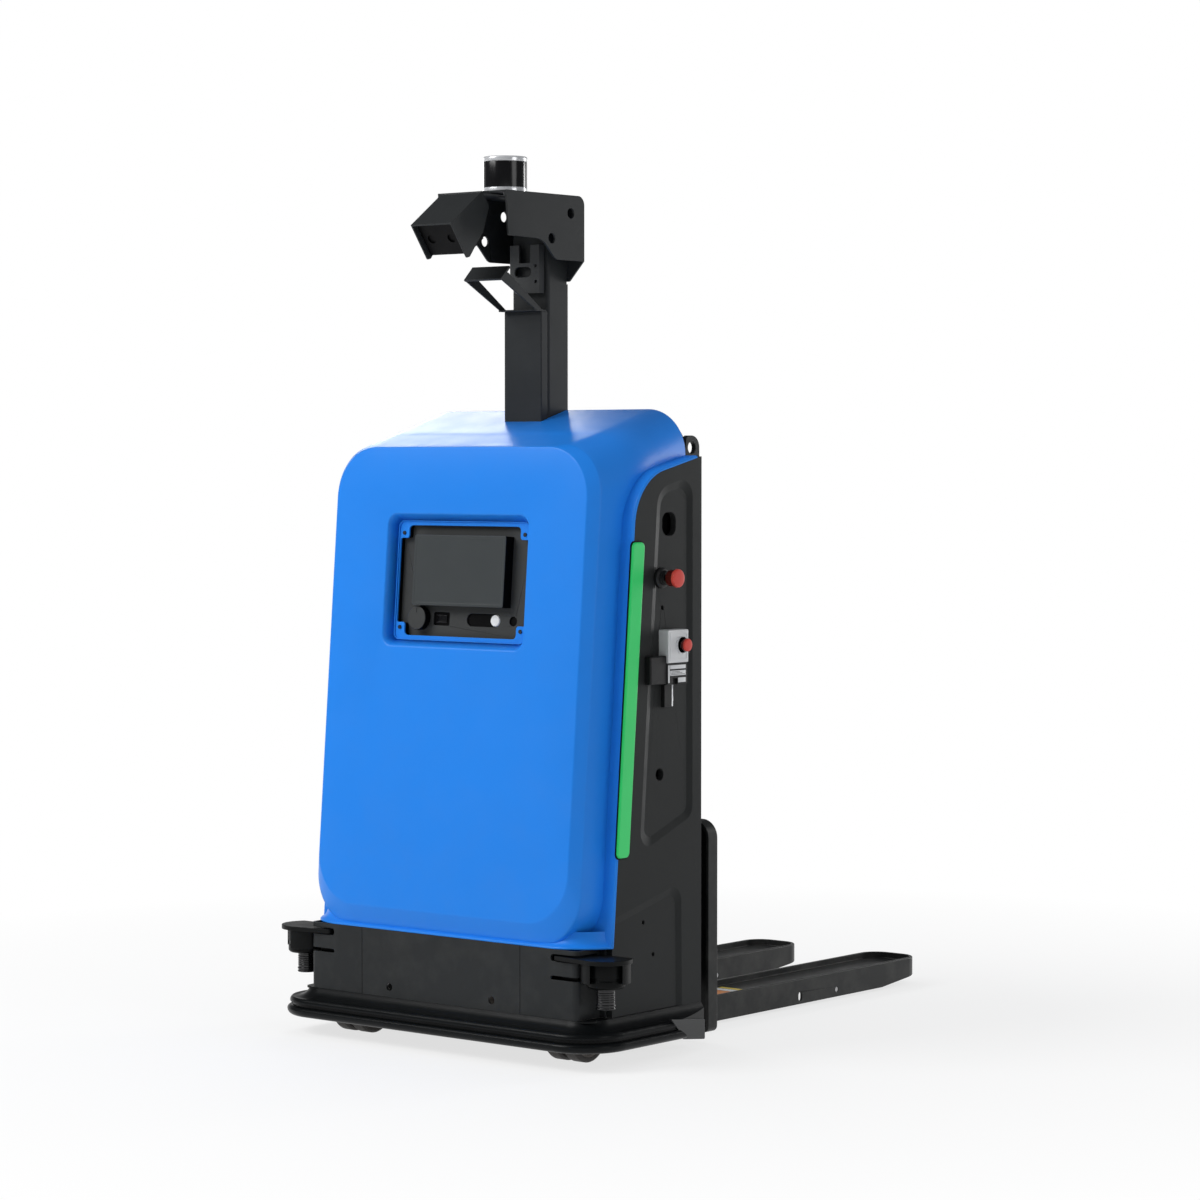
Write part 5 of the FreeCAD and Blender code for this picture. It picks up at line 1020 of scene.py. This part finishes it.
# ---------------- scanners
class ROBOT_OT_scanners(bpy.types.Operator):
    """Round scanner of the mast and the two corner scanners"""
    bl_idname = "robot.scanners"
    bl_label = "Scanners"

    def execute(self, context):
        up = (0, 0, 1)
        base = [(6, 0.05), (52.2, 0.05, 0.5), (52.2, 12.5, 0.6), (51, 13.2, 0.3), (51, 14, 0.2),
                (52, 14.6, 0.3), (52, 15), (6, 15)]
        window = [(6, 15), (51.2, 15, 0.4), (51.2, 75, 0.4), (6, 75)]
        cap = [(6, 75), (50.8, 75, 0.2), (52.2, 75.6, 0.4), (52.2, 84, 1.2), (49.6, 86.9, 1),
               (45.5, 86.9, 0.4), (44.8, 86, 0.4), (6, 86)]
        for name, profile, slot, label in (("base", base, "rod_chrome", "chrome"),
                                           ("window", window, "lidar_gloss", "gloss"),
                                           ("cap", cap, "rod_chrome", "chrome")):
            turned("mast_scanner_" + name, profile, [MAST_SCANNER], up, ("chassis", slot, label),
                   "lidar_" + name)
        drum = [(6, 0), (39.5, 0, 1), (43.9, 4.6, 1.5), (43.9, 18, 0.5), (42.4, 19.4, 0.5),
                (42.4, 26, 0.5), (43.9, 27.4, 0.5), (43.9, 55.9, 0.5), (6, 55.9)]
        for side, name in SIDES:
            turned("corner_scanner_" + name, drum, [(side * CORNER_X, CORNER_Y, 184)], up,
                   ("chassis", "scanner_black", "scanner"), "scanner_housing_" + name)
        optic = [(4, 0.1), (21.5, 0.1, 0.8), (22.4, 1.2, 0.5), (22.4, 3.6, 0.5), (20.6, 4.4, 0.4),
                 (20.6, 6.6, 0.4), (22.4, 7.4, 0.5), (22.4, 10.6, 0.5), (20.8, 11.6, 0.4)]
        for z in (16, 21, 26, 31, 36):
            optic += [(20.8, z, 0.3), (21.6, z + 0.8, 0.3), (21.6, z + 2, 0.3), (20.8, z + 2.8, 0.3)]
        optic += [(20.8, 43, 0.3), (22.4, 44.2, 0.4), (22.4, 47.9, 0.2), (4, 47.9)]
        turned("scanner_lenses", optic, [(side * CORNER_X, CORNER_Y, 136) for side in (1, -1)], up,
               ("chassis", "scanner_black", "gloss"), "scanner_optics")
        return {"FINISHED"}


# ---------------- wheels
class ROBOT_OT_wheels(bpy.types.Operator):
    """Caster wheels, drive wheel and load rollers"""
    bl_idname = "robot.wheels"
    bl_label = "Wheels"

    def execute(self, context):
        along = (1, 0, 0)
        tread = both_ways([(50.6, -18.9, 0.5), (57.5, -18.9, 1), (62.4, -14.5, 3)])
        hub = both_ways([(3, -18.5), (13, -18.5, 0.6), (14.5, -17, 0.6), (17, -11.5, 1),
                         (38, -9.5, 1.5), (44, -17.5, 1.2), (50.4, -18.6, 0.4)])
        axle = both_ways([(2, -45), (6, -45, 0.8), (9.9, -42, 0.8)])
        roller = both_ways([(3, -55), (7.2, -55, 0.5), (7.9, -54, 0.3), (7.9, -46.6), (20.5, -46, 0.8),
                            (24.4, -43, 1.6)])
        for side, name in SIDES:
            body = "caster_wheel_" + name
            twins = [(side * CASTER_X + s * TWIN, CASTER_Y, CASTER_Z) for s in (-1, 1)]
            turned("caster_tread_" + name, tread, twins, along, (body, "tyre_poly", "tyre"),
                   "caster_tyre_" + name, ring=True)
            turned("caster_core_" + name, hub, twins, along, (body, "hub_iron", "iron"), "caster_hub_" + name)
            turned("caster_axle_" + name, axle, [(side * CASTER_X, CASTER_Y, CASTER_Z)], along,
                   (body, "hub_iron", "steel"), count=32)
            turned("load_wheel_" + name, roller, [(side * FORK_X, ROLLER_Y, ROLLER_Z)], along,
                   ("load_wheel_" + name, "roller_poly", "roller"), "load_roller_" + name)
        tread = both_ways([(93.1, -37.3, 0.6), (106, -37.3, 1.5), (114.9, -31, 4)])
        turned("drive_tread", tread, [DRIVE], along, ("drive_wheel", "tyre_poly", "tyre"), "drive_tyre",
               ring=True)
        hub = both_ways([(4, -59), (19, -59, 1), (20, -57, 0.5), (20, -37.2, 0.5), (37, -36.5, 1.5),
                         (41, -24.5, 2), (78, -23.5, 2.5), (84, -36, 1.5), (92.9, -37.2, 0.5)])
        turned("drive_core", hub, [DRIVE], along, ("drive_wheel", "hub_iron", "iron"), "drive_hub")
        return {"FINISHED"}


# ---------------- fork tapes
class ROBOT_OT_tapes(bpy.types.Operator):
    """Plain coloured tapes in the forks' recesses"""
    bl_idname = "robot.tapes"
    bl_label = "Fork tapes"

    def execute(self, context):
        tapes = ((760, 842, "amber"), (846, 872, "white"), (876, 892, "yellow"))
        for side, name in SIDES:
            middle = side * FORK_X
            for i, (start, end, label) in enumerate(tapes):
                block("fork_tape_%s_%d" % (name, i + 1), (middle - 52, start, 55.05),
                      (middle + 20, end, 55.65), 0.25, ("carriage", "fork_dark", label))
        return {"FINISHED"}


# ---------------- run
class ROBOT_PT_panel(bpy.types.Panel):
    """Lists the pieces that can be built"""
    bl_label = "Pallet robot"
    bl_idname = "ROBOT_PT_panel"
    bl_space_type = "VIEW_3D"
    bl_region_type = "UI"
    bl_category = "Pallet robot"

    def draw(self, context):
        for step in STEPS:
            self.layout.operator(step.bl_idname)
        for label, _ in GROUP_TYPES:
            group_of = getattr(context.scene, label)
            for key in group_of.bl_rna.properties.keys():
                if key not in ("rna_type", "name"):
                    self.layout.prop(group_of, key)


STEPS = (ROBOT_OT_stage, ROBOT_OT_finishes, ROBOT_OT_cover, ROBOT_OT_sheets, ROBOT_OT_screen, ROBOT_OT_stops,
         ROBOT_OT_scanners, ROBOT_OT_wheels, ROBOT_OT_tapes)
GROUP_TYPES = (("robot_colours", RobotColours), ("robot_cover", CoverSizes), ("robot_edges", EdgeSizes),
               ("robot_wheels", WheelSizes), ("robot_stage", StageSizes))


def register():
    for label, kind in GROUP_TYPES:
        bpy.utils.register_class(kind)
        setattr(bpy.types.Scene, label, bpy.props.PointerProperty(type=kind))
    for kind in (*STEPS, ROBOT_PT_panel):
        bpy.utils.register_class(kind)


def unregister():
    for kind in reversed((*STEPS, ROBOT_PT_panel)):
        bpy.utils.unregister_class(kind)
    for label, kind in reversed(GROUP_TYPES):
        delattr(bpy.types.Scene, label)
        bpy.utils.unregister_class(kind)


def main():
    register()
    for step in STEPS:
        family, name = step.bl_idname.split(".")
        getattr(getattr(bpy.ops, family), name)()
    bpy.context.view_layer.update()


if __name__ == "__main__":
    main()
